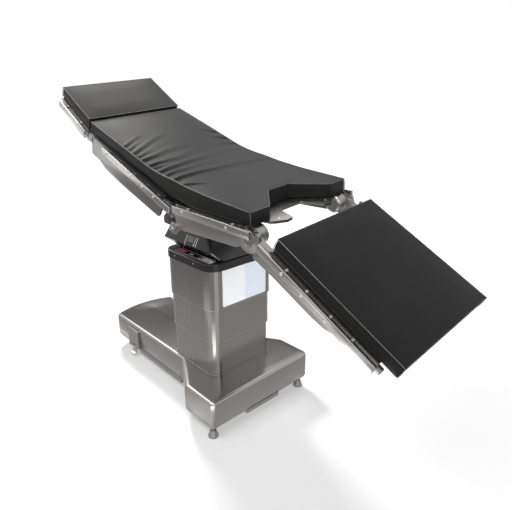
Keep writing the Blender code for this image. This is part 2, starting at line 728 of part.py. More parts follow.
def build_panel(surface, key_surfaces, lamp_surface):
    """Keypad: a thin plate on the cap, and four keys that travel through it."""
    half = PANEL_LENGTH / 2.0
    outline = rounded([
        (PANEL_X - half, PANEL_Y - PANEL_WIDTH / 2.0), (PANEL_X + half, PANEL_Y - PANEL_WIDTH / 2.0),
        (PANEL_X + half, PANEL_Y + PANEL_WIDTH / 2.0), (PANEL_X - half, PANEL_Y + PANEL_WIDTH / 2.0),
    ], PANEL_CORNER, 4)
    low = CAP_TOP_Z + TOUCH_GAP
    panel = add_object("keypad_panel", prism(outline, low, low + PANEL_THICKNESS), surface, COLUMN)
    for index in range(KEY_COUNT):
        x = KEY_FIRST_X + index * KEY_PITCH
        hole = prism(rounded_key(x, RUN_GAP), low - 0.01, low + 0.02)
        cut(panel, hole, "key_hole_%d" % index)
        key_low = CAP_TOP_Z + 0.0022
        key_high = low + PANEL_THICKNESS + KEY_RISE
        key = add_object("key_%d" % (index + 1), prism(rounded_key(0.0, 0.0, 0.0), key_low, key_high),
            key_surfaces[index], COLUMN, (x, PANEL_Y, 0.0))
        join(key, disc(KEY_STEM_RADIUS, CAP_TOP_Z - KEY_STEM_DEPTH, key_low + 0.0005,
            steps=SMALL_ROUND_STEPS), "stem")
    stud = [
        (0.0, low), (LAMP_RADIUS, low), (LAMP_RADIUS, low + LAMP_HEIGHT * 0.6),
        (LAMP_RADIUS * 0.7, low + LAMP_HEIGHT * 0.9), (0.0, low + LAMP_HEIGHT),
    ]
    add_object("indicator_lamp", turned(stud, steps=SMALL_ROUND_STEPS), lamp_surface, COLUMN,
        (LAMP_X, LAMP_Y, 0.0))


def rounded_key(x, grow, y=PANEL_Y):
    half_x = KEY_LENGTH / 2.0 + grow
    half_y = KEY_WIDTH / 2.0 + grow
    corners = [(x - half_x, y - half_y), (x + half_x, y - half_y), (x + half_x, y + half_y),
        (x - half_x, y + half_y)]
    return rounded(corners, 0.003, 2)


def build_column_head(surface):
    """Fork on top of the ram: two ears with eyes for the pitch pin."""
    low = TOP_SHROUD_TOP_Z
    block = box((-HEAD_BLOCK_HALF_X, -HEAD_BLOCK_HALF_Y, low), (HEAD_BLOCK_HALF_X, HEAD_BLOCK_HALF_Y, HEAD_FLOOR_Z))
    head = add_object("column_head", block, surface, COLUMN)
    ear = ear_outline(0.0, PITCH_AXIS_Z, EAR_RADIUS, HEAD_FLOOR_Z - 0.004, HEAD_BLOCK_HALF_X)
    for side, label in ((-1, "near"), (1, "far")):
        faces = sorted((side * HEAD_BLOCK_HALF_Y, side * (HEAD_BLOCK_HALF_Y - EAR_THICKNESS)))
        join(head, prism(ear, faces[0], faces[1], "xz"), "ear_" + label)
    cut(head, disc(PITCH_PIN_RADIUS + RUN_GAP, -0.2, 0.2, "y", (0.0, PITCH_AXIS_Z)), "pin_hole")
    return head


def ear_outline(x, z, radius, foot_z, foot_half):
    """Upright ear: straight foot, round top about an eye."""
    top = [
        (x + radius * math.cos(math.radians(a)), z + radius * math.sin(math.radians(a)))
        for a in range(0, 181, 20)
    ]
    return [(x - foot_half, foot_z), (x + foot_half, foot_z)] + top


def build_cradle(surface):
    """Cross-shaped cradle: it pitches on one pin and carries the roll shaft above it."""
    half_y = HEAD_BLOCK_HALF_Y - EAR_THICKNESS - RUN_GAP
    hub = disc(CRADLE_HUB_RADIUS, -half_y, half_y, "y")
    cradle = add_object("tilt_cradle", hub, surface, PITCH_FRAME)
    tower = box((-CRADLE_HALF_X, -half_y + 0.006, 0.0), (CRADLE_HALF_X, half_y - 0.006, ROLL_AXIS_RISE + 0.022))
    join(cradle, tower, "tower")
    pin_half = HEAD_BLOCK_HALF_Y + 0.004
    join(cradle, disc(PITCH_PIN_RADIUS, -pin_half, pin_half, "y"), "pitch_pin")
    shaft = disc(CRADLE_SHAFT_RADIUS, -CRADLE_SHAFT_REACH, CRADLE_SHAFT_REACH, "x", (0.0, ROLL_AXIS_RISE))
    join(cradle, shaft, "roll_shaft")
    return cradle


def build_carriage(surface):
    """Saddle that rolls on the cradle's shaft and carries the seat frame."""
    hub_start = CRADLE_HALF_X + RUN_GAP * 2.0
    plate_low = CARRIAGE_TOP_Z - CARRIAGE_PLATE
    plate = box((hub_start, -CARRIAGE_HALF_Y, plate_low), (CARRIAGE_FOOT_X, CARRIAGE_HALF_Y, CARRIAGE_TOP_Z))
    carriage = add_object("tilt_carriage", plate, surface, SEAT)
    foot_hub = disc(HUB_RADIUS, hub_start, hub_start + HUB_LENGTH, "x")
    join(carriage, foot_hub, "foot_hub")
    head_hub = disc(HUB_RADIUS, -hub_start - HUB_LENGTH, -hub_start, "x")
    join(carriage, head_hub, "head_hub")
    tie_top = 0.047
    post = [(-HUB_RADIUS * 0.9, 0.0), (HUB_RADIUS * 0.9, 0.0), (0.060, plate_low + 0.004),
        (-0.060, plate_low + 0.004)]
    join(carriage, prism(post, hub_start + 0.002, hub_start + HUB_LENGTH - 0.002, "yz"), "foot_post")
    clear = ROLL_TOWER_CLEAR
    for side, label in ((-1, "near"), (1, "far")):
        arm = sorted((side * clear, side * (clear + 0.014)))
        join(carriage, box((-hub_start - HUB_LENGTH + 0.002, arm[0], -0.012),
            (hub_start + HUB_LENGTH - 0.004, arm[1], tie_top)), "tie_" + label)
    join(carriage, box((-hub_start - HUB_LENGTH + 0.002, -clear - 0.013, -0.012),
        (-hub_start - 0.002, clear + 0.013, 0.018)), "head_tie")
    join(carriage, box((hub_start + 0.003, -clear - 0.013, -0.010),
        (hub_start + HUB_LENGTH - 0.005, clear + 0.013, tie_top - 0.001)), "foot_tie")
    for index, x in enumerate((0.085, CARRIAGE_FOOT_X - 0.032)):
        join(carriage, box((x, -INNER_OUTER_Y, plate_low + 0.001), (x + 0.030, INNER_OUTER_Y, CARRIAGE_TOP_Z - 0.001)),
            "cross_arm_%d" % index)
    cut(carriage, disc(CRADLE_SHAFT_RADIUS + RUN_GAP, -0.3, 0.3, "x"), "shaft_hole")
    return carriage


def build_boot(surface):
    """Folded rubber boot that hides the tilting head; its foot rests on the cap."""
    sections = [
        (BOOT_WAIST_X, BOOT_WAIST_Y, CAP_TOP_Z + TOUCH_GAP),
        (BOOT_FOLD_X, BOOT_FOLD_Y, BOOT_FOLD_Z),
        (BOOT_TOP_X, BOOT_TOP_Y, BOOT_TOP_Z),
    ]
    shape = bmesh.new()
    rows = []
    for inset in (0.0, BOOT_WALL):
        ordered = sections if inset == 0.0 else list(reversed(sections))
        for half_x, half_y, z in ordered:
            outline = rounded_box_outline(half_x - inset, half_y - inset, BOOT_CORNER - inset, 3)
            rows.append([shape.verts.new((x, y, z)) for x, y in outline])
    bridge_rows(shape, rows, closed=True)
    boot = add_object("saddle_boot", shape, surface, COLUMN)
    return boot


def eye(x, z, radius=EAR_EYE_RADIUS):
    return [
        (x + radius * math.cos(math.radians(a)), z + radius * math.sin(math.radians(a)))
        for a in range(0, 360, 20)
    ]


def side_faces(side, inner, outer):
    return sorted((side * inner, side * outer))


def build_seat_beam(name, side, surface):
    """Side beam of the seat: a round end at the leg hinge, a lobe with a knob at the back hinge."""
    low, high = side_faces(side, OUTER_INNER_Y, OUTER_FACE_Y)
    top = SEAT_TOP_Z - PLATE_THICKNESS - TOUCH_GAP
    outline = rounded([
        (BEAM_HEAD_X, top), (BEAM_HEAD_X, BEAM_HEAD_BOTTOM_Z), (BEAM_FOOT_X, BEAM_FOOT_BOTTOM_Z),
        (LEG_AXIS_X - 0.046, LEG_AXIS_Z - 0.031), (LEG_AXIS_X, LEG_AXIS_Z - LEG_EYE_RADIUS + 0.002),
        (LEG_AXIS_X, top),
    ], [0.004, 0, 0.012, 0.010, 0, 0], 3)
    beam = add_object(name, prism(outline, low, high, "xz"), surface, SEAT)
    join(beam, prism(eye(PIVOT_X, PIVOT_Z, PIVOT_EYE_RADIUS), low, high, "xz"), "pivot_lug")
    join(beam, prism(eye(LEG_AXIS_X, LEG_AXIS_Z, LEG_EYE_RADIUS), low, high, "xz"), "leg_eye")
    boss = side_faces(side, OUTER_FACE_Y - 0.002, OUTER_FACE_Y + 0.015)
    join(beam, disc(PIVOT_RADIUS, boss[0], boss[1], "y", (PIVOT_X, PIVOT_Z), SMALL_ROUND_STEPS), "pivot_knob")
    return beam


def build_rail(name, side, x_low, x_high, top_z, carrier_y, standoffs, surface, parent):
    """Accessory side rail: a flat bar held off the frame by round spacers."""
    faces = side_faces(side, RAIL_OUTER_Y - RAIL_THICKNESS, RAIL_OUTER_Y)
    low_z = top_z - RAIL_HEIGHT
    outline = rounded([(x_low, low_z), (x_high, low_z), (x_high, top_z), (x_low, top_z)], RAIL_END_RADIUS, 2)
    rail = add_object(name, prism(outline, faces[0], faces[1], "xz"), surface, parent)
    spacer = side_faces(side, carrier_y + TOUCH_GAP, RAIL_OUTER_Y - RAIL_THICKNESS + 0.001)
    middle = (top_z + low_z) / 2.0
    for index, x in enumerate(standoffs):
        join(rail, disc(STANDOFF_RADIUS, spacer[0], spacer[1], "y", (x, middle), 14), "spacer_%d" % index)
    return rail


def build_seat_plate(surface):
    """Seat plate with rounded ears either side of the perineal cut-out."""
    half = OUTER_FACE_Y
    near = [
        (SEAT_PLATE_HEAD_X, -half), (PLATE_SHOULDER_X, -half), (PLATE_SHOULDER_X + 0.012, -PLATE_EAR_OUTER_Y),
        (PLATE_EAR_X - 0.030, -PLATE_EAR_OUTER_Y + 0.010), (PLATE_EAR_X, -PLATE_EAR_INNER_Y - 0.034),
        (PLATE_EAR_X - 0.004, -PLATE_EAR_INNER_Y), (PLATE_NOTCH_X, -PLATE_NOTCH_HALF),
    ]
    outline = near + [(x, -y) for x, y in reversed(near)]
    radii = [0.004, 0.004, 0.010, 0.020, 0.014, 0.008, 0.016]
    radii = radii + list(reversed(radii))
    shape = prism(rounded(outline, radii, 3), SEAT_TOP_Z - PLATE_THICKNESS, SEAT_TOP_Z)
    return add_object("seat_plate", shape, surface, SEAT)


def build_drum(name, side, x, z, radius, inner_y, rim, reach, surface):
    """Round hinge housing inside the hinge ear, with its pin and a bracket to the seat beam."""
    sign = 1.0 if side > 0 else -1.0
    outer = INNER_FACE_Y - TOUCH_GAP
    profile = [
        (0.0, sign * inner_y), (radius - 0.008, sign * inner_y), (radius - 0.003, sign * (inner_y + 0.003)),
        (radius, sign * (inner_y + 0.006)), (radius, sign * (inner_y + 0.012)),
        (radius - rim, sign * (inner_y + 0.014)), (radius - rim, sign * (outer - 0.008)),
        (radius, sign * (outer - 0.006)), (radius, sign * outer), (0.0, sign * outer),
    ]
    drum = add_object(name, turned(profile, (x, z), ROUND_STEPS, "y"), surface, SEAT)
    pin = side_faces(side, outer - 0.002, INNER_OUTER_Y)
    join(drum, disc(PIN_RADIUS, pin[0], pin[1], "y", (x, z), SMALL_ROUND_STEPS), "pin")
    ends = sorted((x, x + reach))
    arm = side_faces(side, inner_y + 0.008, outer - 0.001)
    join(drum, box((ends[0], arm[0], z - DRUM_BRACKET_HALF), (ends[1], arm[1], z + DRUM_BRACKET_HALF)), "arm")
    tip = sorted((x + reach * 0.62, x + reach))
    pad = side_faces(side, inner_y + 0.009, INNER_OUTER_Y)
    join(drum, box((tip[0], pad[0], z - DRUM_BRACKET_HALF + 0.001),
        (tip[1], pad[1], z + DRUM_BRACKET_HALF - 0.001)), "foot")
    return drum


def build_seat_pad(surface):
    low = SEAT_TOP_Z + TOUCH_GAP
    side = [
        (SEAT_PAD_HEAD_X + TOUCH_GAP, low), (SEAT_PAD_FOOT_X, low),
        (SEAT_PAD_FOOT_X, low + PAD_THICKNESS), (SEAT_PAD_MIDDLE_X, SEAT_PAD_MIDDLE_TOP),
        (SEAT_PAD_HEAD_X + TOUCH_GAP, SEAT_PAD_HEAD_TOP),
    ]
    pad = add_object("seat_pad", prism(side, -PAD_HALF_WIDTH, PAD_HALF_WIDTH, "xz"), surface, SEAT)
    slant = (PAD_NOTCH_MOUTH_HALF - PAD_NOTCH_BACK_HALF) / PAD_NOTCH_DEPTH
    beyond = 0.02
    wide = PAD_NOTCH_MOUTH_HALF + slant * beyond
    back = SEAT_PAD_FOOT_X - PAD_NOTCH_DEPTH
    mouth = SEAT_PAD_FOOT_X + beyond
    notch = [(back, -PAD_NOTCH_BACK_HALF), (mouth, -wide), (mouth, wide), (back, PAD_NOTCH_BACK_HALF)]
    cut(pad, prism(rounded(notch, [0.012, 0, 0, 0.012], 3), 0.0, 0.4), "perineal_notch")
    return pad


def back_to_seat(x, z):
    """A point of the back section's flat frame, in the seat's frame at rest."""
    return (
        BACK_AXIS_X + x * math.cos(REST_BACK) + z * math.sin(REST_BACK),
        BACK_AXIS_Z - x * math.sin(REST_BACK) + z * math.cos(REST_BACK),
    )


def build_pad_bend(surface):
    """The part of the long pad that bridges the hollow over the back hinge and flexes there."""
    edge = BACK_PAD_FOOT_X + TOUCH_GAP
    side = [
        (SEAT_PAD_HEAD_X, SEAT_TOP_Z + TOUCH_GAP), (SEAT_PAD_HEAD_X, SEAT_PAD_HEAD_TOP),
        (BEND_CREST_X + 0.050, BEND_CREST_TOP - 0.0055), (BEND_CREST_X, BEND_CREST_TOP - 0.001),
        (BEND_CREST_HEAD_X - 0.030, BEND_CREST_TOP + 0.0065), back_to_seat(edge, BACK_PAD_FOOT_TOP),
        back_to_seat(edge, BACK_TOP_Z + BACK_PAD_FOOT_LIFT),
        (BEND_CREST_X, SEAT_TOP_Z + BEND_CREST_LIFT + 0.006),
    ]
    shape = prism(side, -PAD_HALF_WIDTH, PAD_HALF_WIDTH, "xz")
    return add_object("pad_bend", shape, surface, SEAT)


def build_hinge_ear(target, side, radius, direction, reach, half_depth, surface_z):
    """Inner ear about the hinge, stepped outwards into the side plate beyond the hinge's round."""
    ear = side_faces(side, INNER_FACE_Y, INNER_OUTER_Y)
    join(target, prism(eye(0.0, 0.0, radius), ear[0], ear[1], "xz"), "hinge_ear")
    ends = sorted((0.0, direction * reach))
    join(target, box((ends[0], ear[0], -half_depth), (ends[1], ear[1], surface_z)), "ear_arm")
    step = sorted((direction * EAR_SHOULDER_X, direction * (reach - 0.001)))
    shoulder = side_faces(side, INNER_FACE_Y + 0.001, OUTER_FACE_Y - 0.002)
    join(target, box((step[0], shoulder[0], -half_depth + 0.001), (step[1], shoulder[1], surface_z - 0.001)), "step")
    pin = disc(PIN_RADIUS + RUN_GAP / 2.0, -0.3, 0.3, "y", (0.0, 0.0), SMALL_ROUND_STEPS)
    cut(target, pin, "pin_hole")


def build_back_side(name, side, surface):
    """Deep side plate of the back section, from the seat hinge ear to the head hinge eye."""
    low, high = side_faces(side, OUTER_INNER_Y, OUTER_FACE_Y)
    top = BACK_TOP_Z - PLATE_THICKNESS - TOUCH_GAP
    head_z = BACK_TOP_Z - HEAD_AXIS_DROP
    outline = rounded([
        (-0.045, top), (BACK_SIDE_FOOT_X, BACK_SIDE_FOOT_Z), (BACK_SIDE_STEP_X, BACK_SIDE_STEP_Z),
        (BACK_SIDE_STEP_X - 0.018, BACK_SIDE_STEP_Z + BACK_SIDE_STEP_RISE),
        (BACK_SIDE_HEAD_X, BACK_SIDE_STEP_Z + BACK_SIDE_STEP_RISE + 0.003),
        (BACK_SIDE_HEAD_X - 0.004, head_z - 0.016), (BACK_SIDE_HEAD_X, top),
    ], [0.004, 0.004, 0.004, 0.004, 0.010, 0, 0], 3)
    plate = add_object(name, prism(outline, low, high, "xz"), surface, BACK)
    join(plate, prism(eye(HEAD_AXIS_X, head_z, HEAD_EYE_RADIUS), low, high, "xz"), "head_eye")
    build_hinge_ear(plate, side, BACK_EAR_RADIUS, -1.0, EAR_REACH_X, 0.026, top - 0.001)
    cut(plate, disc(PIN_RADIUS + RUN_GAP / 2.0, -0.3, 0.3, "y", (HEAD_AXIS_X, head_z),
        SMALL_ROUND_STEPS), "head_hole")
    return plate


def build_back_plate(surface):
    """Radiolucent top plate between the two side plates."""
    half = OUTER_FACE_Y
    corners = [(BACK_PLATE_HEAD_X, -half), (BACK_PLATE_FOOT_X, -half), (BACK_PLATE_FOOT_X, half),
        (BACK_PLATE_HEAD_X, half)]
    shape = prism(corners, BACK_TOP_Z - PLATE_THICKNESS, BACK_TOP_Z)
    return add_object("back_plate", shape, surface, BACK)


def build_back_pad(surface):
    low = BACK_TOP_Z + TOUCH_GAP
    side = [
        (BACK_PAD_HEAD_X, low), (BACK_PAD_LIFT_X, low),
        (BACK_PAD_FOOT_X, BACK_TOP_Z + BACK_PAD_FOOT_LIFT), (BACK_PAD_FOOT_X, BACK_PAD_FOOT_TOP),
        (BACK_PAD_HEAD_X, BACK_PAD_HEAD_TOP),
    ]
    return add_object("back_pad", prism(side, -PAD_HALF_WIDTH, PAD_HALF_WIDTH, "xz"), surface, BACK)


def build_head_frame(surface):
    """Head section frame: a top plate with two side arms that reach to the hinge pins."""
    half = OUTER_FACE_Y
    top = HEAD_AXIS_DROP
    plate = box((HEAD_FRAME_HEAD_X, -half, top - PLATE_THICKNESS), (HEAD_FRAME_FOOT_X, half, top))
    frame = add_object("head_frame", plate, surface, HEAD)
    blade = rounded([
        (HEAD_FRAME_FOOT_X - 0.004, -0.016), (HEAD_FRAME_HEAD_X * 0.5, -HEAD_ARM_DEPTH + HEAD_AXIS_DROP - 0.012),
        (HEAD_FRAME_HEAD_X, -HEAD_ARM_DEPTH + HEAD_AXIS_DROP + 0.004), (HEAD_FRAME_HEAD_X, top - 0.002),
        (HEAD_FRAME_FOOT_X - 0.004, top - 0.002),
    ], [0.004, 0.02, 0.006, 0, 0], 3)
    for side, label in ((-1, "near"), (1, "far")):
        blade_faces = side_faces(side, INNER_FACE_Y + 0.002, OUTER_FACE_Y - 0.0005)
        join(frame, prism(blade, blade_faces[0], blade_faces[1], "xz"), "arm_" + label)
        ear = side_faces(side, INNER_FACE_Y, INNER_OUTER_Y)
        join(frame, prism(eye(0.0, 0.0, HEAD_EYE_RADIUS - 0.002), ear[0], ear[1], "xz"), "ear_" + label)
        join(frame, box((HEAD_FRAME_FOOT_X - 0.02, ear[0], -0.014), (0.0, ear[1], 0.013)), "neck_" + label)
        pin = side_faces(side, INNER_OUTER_Y - 0.002, OUTER_FACE_Y + 0.003)
        join(frame, disc(PIN_RADIUS, pin[0], pin[1], "y", (0.0, 0.0), SMALL_ROUND_STEPS), "pin_" + label)
    return frame


def build_head_pad(surface):
    low = HEAD_AXIS_DROP + TOUCH_GAP
    shape = box((HEAD_PAD_HEAD_X, -PAD_HALF_WIDTH, low), (HEAD_PAD_FOOT_X, PAD_HALF_WIDTH, low + PAD_THICKNESS))
    return add_object("head_pad", shape, surface, HEAD)


def build_leg_arm(name, side, surface):
    """Leg arm: an inner hinge ear, a deep tapering blade with a long recess, then a narrow bar."""
    low, high = side_faces(side, OUTER_INNER_Y, OUTER_FACE_Y)
    top = LEG_TOP_Z - PLATE_THICKNESS - TOUCH_GAP
    outline = rounded([
        (ARM_START_X, -0.028), (LEG_ARM_STEP_X, -LEG_ARM_NARROW * 0.4),
        (LEG_ARM_STEP_X + 0.060, LEG_TOP_Z - RAIL_HEIGHT + 0.002),
        (LEG_ARM_END_X, LEG_TOP_Z - RAIL_HEIGHT + 0.002), (LEG_ARM_END_X, top), (ARM_START_X, top),
    ], [0.005, 0.012, 0.012, 0.004, 0.004, 0.008], 3)
    arm = add_object(name, prism(outline, low, high, "xz"), surface, LEG)
    build_hinge_ear(arm, side, LEG_EYE_RADIUS - 0.003, 1.0, EAR_REACH_X, 0.024, top - 0.001)
    recess = rounded([(0.075, -0.019), (0.330, -0.008), (0.330, 0.006), (0.075, 0.006)], 0.006, 3)
    faces = side_faces(side, OUTER_FACE_Y - 0.004, OUTER_FACE_Y + 0.02)
    cut(arm, prism(recess, faces[0], faces[1], "xz"), "recess")
    return arm


def build_leg_plate(surface):
    half = OUTER_FACE_Y
    shape = box((LEG_PLATE_START_X, -half, LEG_TOP_Z - PLATE_THICKNESS), (LEG_PLATE_END_X, half, LEG_TOP_Z))
    return add_object("leg_plate", shape, surface, LEG)


def build_leg_pad(surface):
    low = LEG_TOP_Z + TOUCH_GAP
    shape = box((LEG_PAD_START_X, -PAD_HALF_WIDTH, low), (LEG_PAD_END_X, PAD_HALF_WIDTH, low + PAD_THICKNESS))
    return add_object("leg_pad", shape, surface, LEG)


FEET = [
    ("floor_foot_leg_near", FOOT_END_X, -FOOT_END_Y), ("floor_foot_leg_far", FOOT_END_X, FOOT_END_Y),
    ("floor_foot_head_near", FOOT_HEAD_X, -FOOT_HEAD_Y), ("floor_foot_head_far", FOOT_HEAD_X, FOOT_HEAD_Y),
]
CASTORS = [
    ("castor_leg_near", CASTOR_END_X, -CASTOR_END_Y), ("castor_leg_far", CASTOR_END_X, CASTOR_END_Y),
    ("castor_head_near", CASTOR_HEAD_X, -CASTOR_HEAD_Y), ("castor_head_far", CASTOR_HEAD_X, CASTOR_HEAD_Y),
]
BACK_TOP_Z = SEAT_TOP_Z - BACK_AXIS_Z
LEG_TOP_Z = SEAT_TOP_Z - LEG_AXIS_Z
ROLL_TOWER_CLEAR = 0.062

clear_scene()
COLUMN = empty("column_axis", (COLUMN_X, COLUMN_Y, 0.0))
PITCH_FRAME = empty("pitch_axis", (0.0, 0.0, PITCH_AXIS_Z), (0.0, REST_PITCH, 0.0), COLUMN)
SEAT = empty("roll_axis", (0.0, 0.0, ROLL_AXIS_RISE), (REST_TILT, 0.0, 0.0), PITCH_FRAME)
BACK = empty("back_hinge", (BACK_AXIS_X, 0.0, BACK_AXIS_Z), (0.0, REST_BACK, 0.0), SEAT)
HEAD = empty("head_hinge", (HEAD_AXIS_X, 0.0, BACK_TOP_Z - HEAD_AXIS_DROP), (0.0, REST_HEAD, 0.0), BACK)
LEG = empty("leg_hinge", (LEG_AXIS_X, 0.0, LEG_AXIS_Z), (0.0, REST_LEG, 0.0), SEAT)

# Base
build_base_shell(brushed_steel("base_steel"))
build_chassis(cast_grey("chassis_steel"))
for foot_name, foot_x, foot_y in FEET:
    build_foot(foot_name, foot_x, foot_y, rubber(foot_name + "_rubber"))
for castor_name, castor_x, castor_y in CASTORS:
    build_castor(castor_name, castor_x, castor_y,
        bright_steel(castor_name + "_zinc"), rubber(castor_name + "_tread"))
build_latch(brushed_steel("latch_steel"), bright_steel("lever_steel"))

# Column
build_lower_shroud(brushed_steel("lower_shroud_steel"))
build_sliding_shroud("middle_shroud", 1, MIDDLE_SHROUD_BOTTOM_Z, MIDDLE_SHROUD_TOP_Z,
    brushed_steel("middle_shroud_steel"))
build_sliding_shroud("top_shroud", 2, TOP_SHROUD_BOTTOM_Z, TOP_SHROUD_TOP_Z,
    brushed_steel("top_shroud_steel"))
build_lift(cast_grey("cylinder_steel"), bright_steel("ram_chrome"))
build_cap(black_plastic("cap_plastic"))
KEY_COLOURS = [(0.75, 0.22, 0.22), (0.85, 0.85, 0.85), (0.85, 0.85, 0.85), (0.85, 0.85, 0.85)]
build_panel(
    black_plastic("panel_film"),
    [make_material("key_%d_plastic" % (i + 1), colour, 0.4, 0.0) for i, colour in enumerate(KEY_COLOURS)],
    bright_steel("lamp_steel"))

# Tilting head
build_column_head(cast_grey("head_casting"))
build_cradle(cast_grey("cradle_casting"))
build_carriage(cast_grey("carriage_casting"))
build_boot(rubber("boot_rubber"))

# Seat section
for beam_side, beam_label in ((-1, "near"), (1, "far")):
    build_seat_beam("seat_beam_" + beam_label, beam_side, cast_grey("seat_beam_%s_casting" % beam_label))
    build_rail("seat_rail_" + beam_label, beam_side, SEAT_RAIL_HEAD_X, SEAT_RAIL_FOOT_X,
        SEAT_TOP_Z + RAIL_RISE, OUTER_FACE_Y, (0.139, 0.402),
        bright_steel("seat_rail_%s_steel" % beam_label), SEAT)
    build_drum("leg_drum_" + beam_label, beam_side, LEG_AXIS_X, LEG_AXIS_Z, LEG_DRUM_RADIUS,
        LEG_DRUM_INNER_Y, 0.003, -LEG_BRACKET_REACH, cast_grey("leg_drum_%s_casting" % beam_label))
    build_drum("back_drum_" + beam_label, beam_side, BACK_DRUM_X, BACK_DRUM_Z, BACK_DRUM_RADIUS,
        BACK_DRUM_INNER_Y, 0.002, BACK_BRACKET_REACH, black_plastic("back_drum_%s_enamel" % beam_label))
build_seat_plate(brushed_steel("seat_plate_steel"))
build_seat_pad(black_vinyl("seat_pad_vinyl"))
build_pad_bend(black_vinyl("pad_bend_vinyl"))

# Back section
for back_side, back_label in ((-1, "near"), (1, "far")):
    build_back_side("back_side_" + back_label, back_side, cast_grey("back_side_%s_casting" % back_label))
    build_rail("back_rail_" + back_label, back_side, BACK_RAIL_HEAD_X, BACK_RAIL_FOOT_X,
        BACK_TOP_Z + RAIL_RISE, OUTER_FACE_Y, (-0.480, -0.383, -0.264, -0.168, -0.080),
        bright_steel("back_rail_%s_steel" % back_label), BACK)
build_back_plate(black_plastic("back_plate_laminate"))
build_back_pad(black_vinyl("back_pad_vinyl"))

# Head section
build_head_frame(cast_grey("head_frame_casting"))
for head_side, head_label in ((-1, "near"), (1, "far")):
    build_rail("head_rail_" + head_label, head_side, HEAD_RAIL_HEAD_X, HEAD_RAIL_FOOT_X,
        HEAD_AXIS_DROP + RAIL_RISE, OUTER_FACE_Y, (-0.250, -0.110),
        bright_steel("head_rail_%s_steel" % head_label), HEAD)
build_head_pad(black_vinyl("head_pad_vinyl"))

# Leg section
for leg_side, leg_label in ((-1, "near"), (1, "far")):
    build_leg_arm("leg_arm_" + leg_label, leg_side, cast_grey("leg_arm_%s_casting" % leg_label))
    build_rail("leg_rail_" + leg_label, leg_side, LEG_RAIL_START_X, LEG_RAIL_END_X,
        LEG_TOP_Z + RAIL_RISE, OUTER_FACE_Y, (0.140, 0.235, 0.340, 0.450),
        bright_steel("leg_rail_%s_steel" % leg_label), LEG)
build_leg_plate(brushed_steel("leg_plate_steel"))
build_leg_pad(black_vinyl("leg_pad_vinyl"))
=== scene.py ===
"""Looks of a mobile operating table: brushed steel base and column, cast frames, vinyl pads."""

import json
import math

import bmesh
import bpy
from mathutils import Matrix, Vector
from mathutils.geometry import delaunay_2d_cdt


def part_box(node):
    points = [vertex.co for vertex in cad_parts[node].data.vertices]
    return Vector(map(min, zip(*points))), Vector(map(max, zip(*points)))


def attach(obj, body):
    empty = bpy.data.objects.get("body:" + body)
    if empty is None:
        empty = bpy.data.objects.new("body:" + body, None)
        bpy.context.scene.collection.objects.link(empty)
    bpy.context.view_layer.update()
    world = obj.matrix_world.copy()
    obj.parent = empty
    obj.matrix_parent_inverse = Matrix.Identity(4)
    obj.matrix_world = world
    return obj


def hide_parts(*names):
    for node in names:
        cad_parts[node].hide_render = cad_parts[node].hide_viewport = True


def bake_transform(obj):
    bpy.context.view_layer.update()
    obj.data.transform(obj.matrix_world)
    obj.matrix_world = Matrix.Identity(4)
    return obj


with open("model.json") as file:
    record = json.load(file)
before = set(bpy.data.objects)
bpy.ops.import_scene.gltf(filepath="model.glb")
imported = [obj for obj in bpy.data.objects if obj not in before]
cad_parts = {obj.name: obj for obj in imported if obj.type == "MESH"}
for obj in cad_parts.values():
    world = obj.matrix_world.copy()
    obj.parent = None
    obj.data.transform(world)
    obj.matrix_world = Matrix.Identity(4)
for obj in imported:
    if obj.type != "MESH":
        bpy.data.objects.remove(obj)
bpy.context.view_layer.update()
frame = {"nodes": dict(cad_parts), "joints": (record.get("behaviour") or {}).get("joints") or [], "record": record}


# The viewpoint: from the leg end, on the side with the controls, a little above the top.
# The photographed table fills a frame of 512 by 510 pixels, and its optical centre lies
# a little left of and above the middle, which the two shifts give.
def add_object(name, data):
    made = bpy.data.objects.new(name, data)
    bpy.context.scene.collection.objects.link(made)
    return made


VIEW_PLACE = Vector((1.4718, -1.2530, 1.3979))
VIEW_AZIMUTH = math.radians(48.0)
VIEW_DROP = math.radians(17.81)
VIEW_ROLL = math.radians(-0.51)
forward = Vector((
    -math.sin(VIEW_AZIMUTH) * math.cos(VIEW_DROP),
    math.cos(VIEW_AZIMUTH) * math.cos(VIEW_DROP),
    -math.sin(VIEW_DROP),
))
level = Vector((math.cos(VIEW_AZIMUTH), math.sin(VIEW_AZIMUTH), 0.0))
upright = level.cross(forward)
across = level * math.cos(VIEW_ROLL) + upright * math.sin(VIEW_ROLL)
above = upright * math.cos(VIEW_ROLL) - level * math.sin(VIEW_ROLL)
looking = Matrix((across, above, -forward)).transposed().to_4x4()
eye = bpy.data.cameras.new("viewpoint")
eye.lens = 32.42
eye.sensor_width = 36.0
eye.sensor_fit = "HORIZONTAL"
eye.shift_x = 0.0226
eye.shift_y = -0.0212
eye.clip_start = 0.05
viewpoint = add_object("viewpoint", eye)
viewpoint.matrix_world = Matrix.Translation(VIEW_PLACE) @ looking
bpy.context.scene.camera = viewpoint
bpy.context.scene.view_settings.view_transform = "Standard"


# The studio: a white paper floor with a soft shadow, a white surround, soft boxes, and cards
# that show only in reflections, as the lit and the dark sides of a studio.
def set_sockets(tree, node, sockets):
    """Give a node's sockets plain values or the outputs of other nodes."""
    for label, value in sockets.items():
        if isinstance(value, bpy.types.NodeSocket):
            tree.links.new(value, node.inputs[label])
        else:
            node.inputs[label].default_value = value


def add_node(tree, kind, sockets=None, **settings):
    made = tree.nodes.new(kind)
    for label, value in settings.items():
        setattr(made, label, value)
    set_sockets(tree, made, sockets or {})
    return made


def new_material(name):
    made = bpy.data.materials.new(name)
    made.use_nodes = True
    return made, made.node_tree, made.node_tree.nodes["Principled BSDF"]


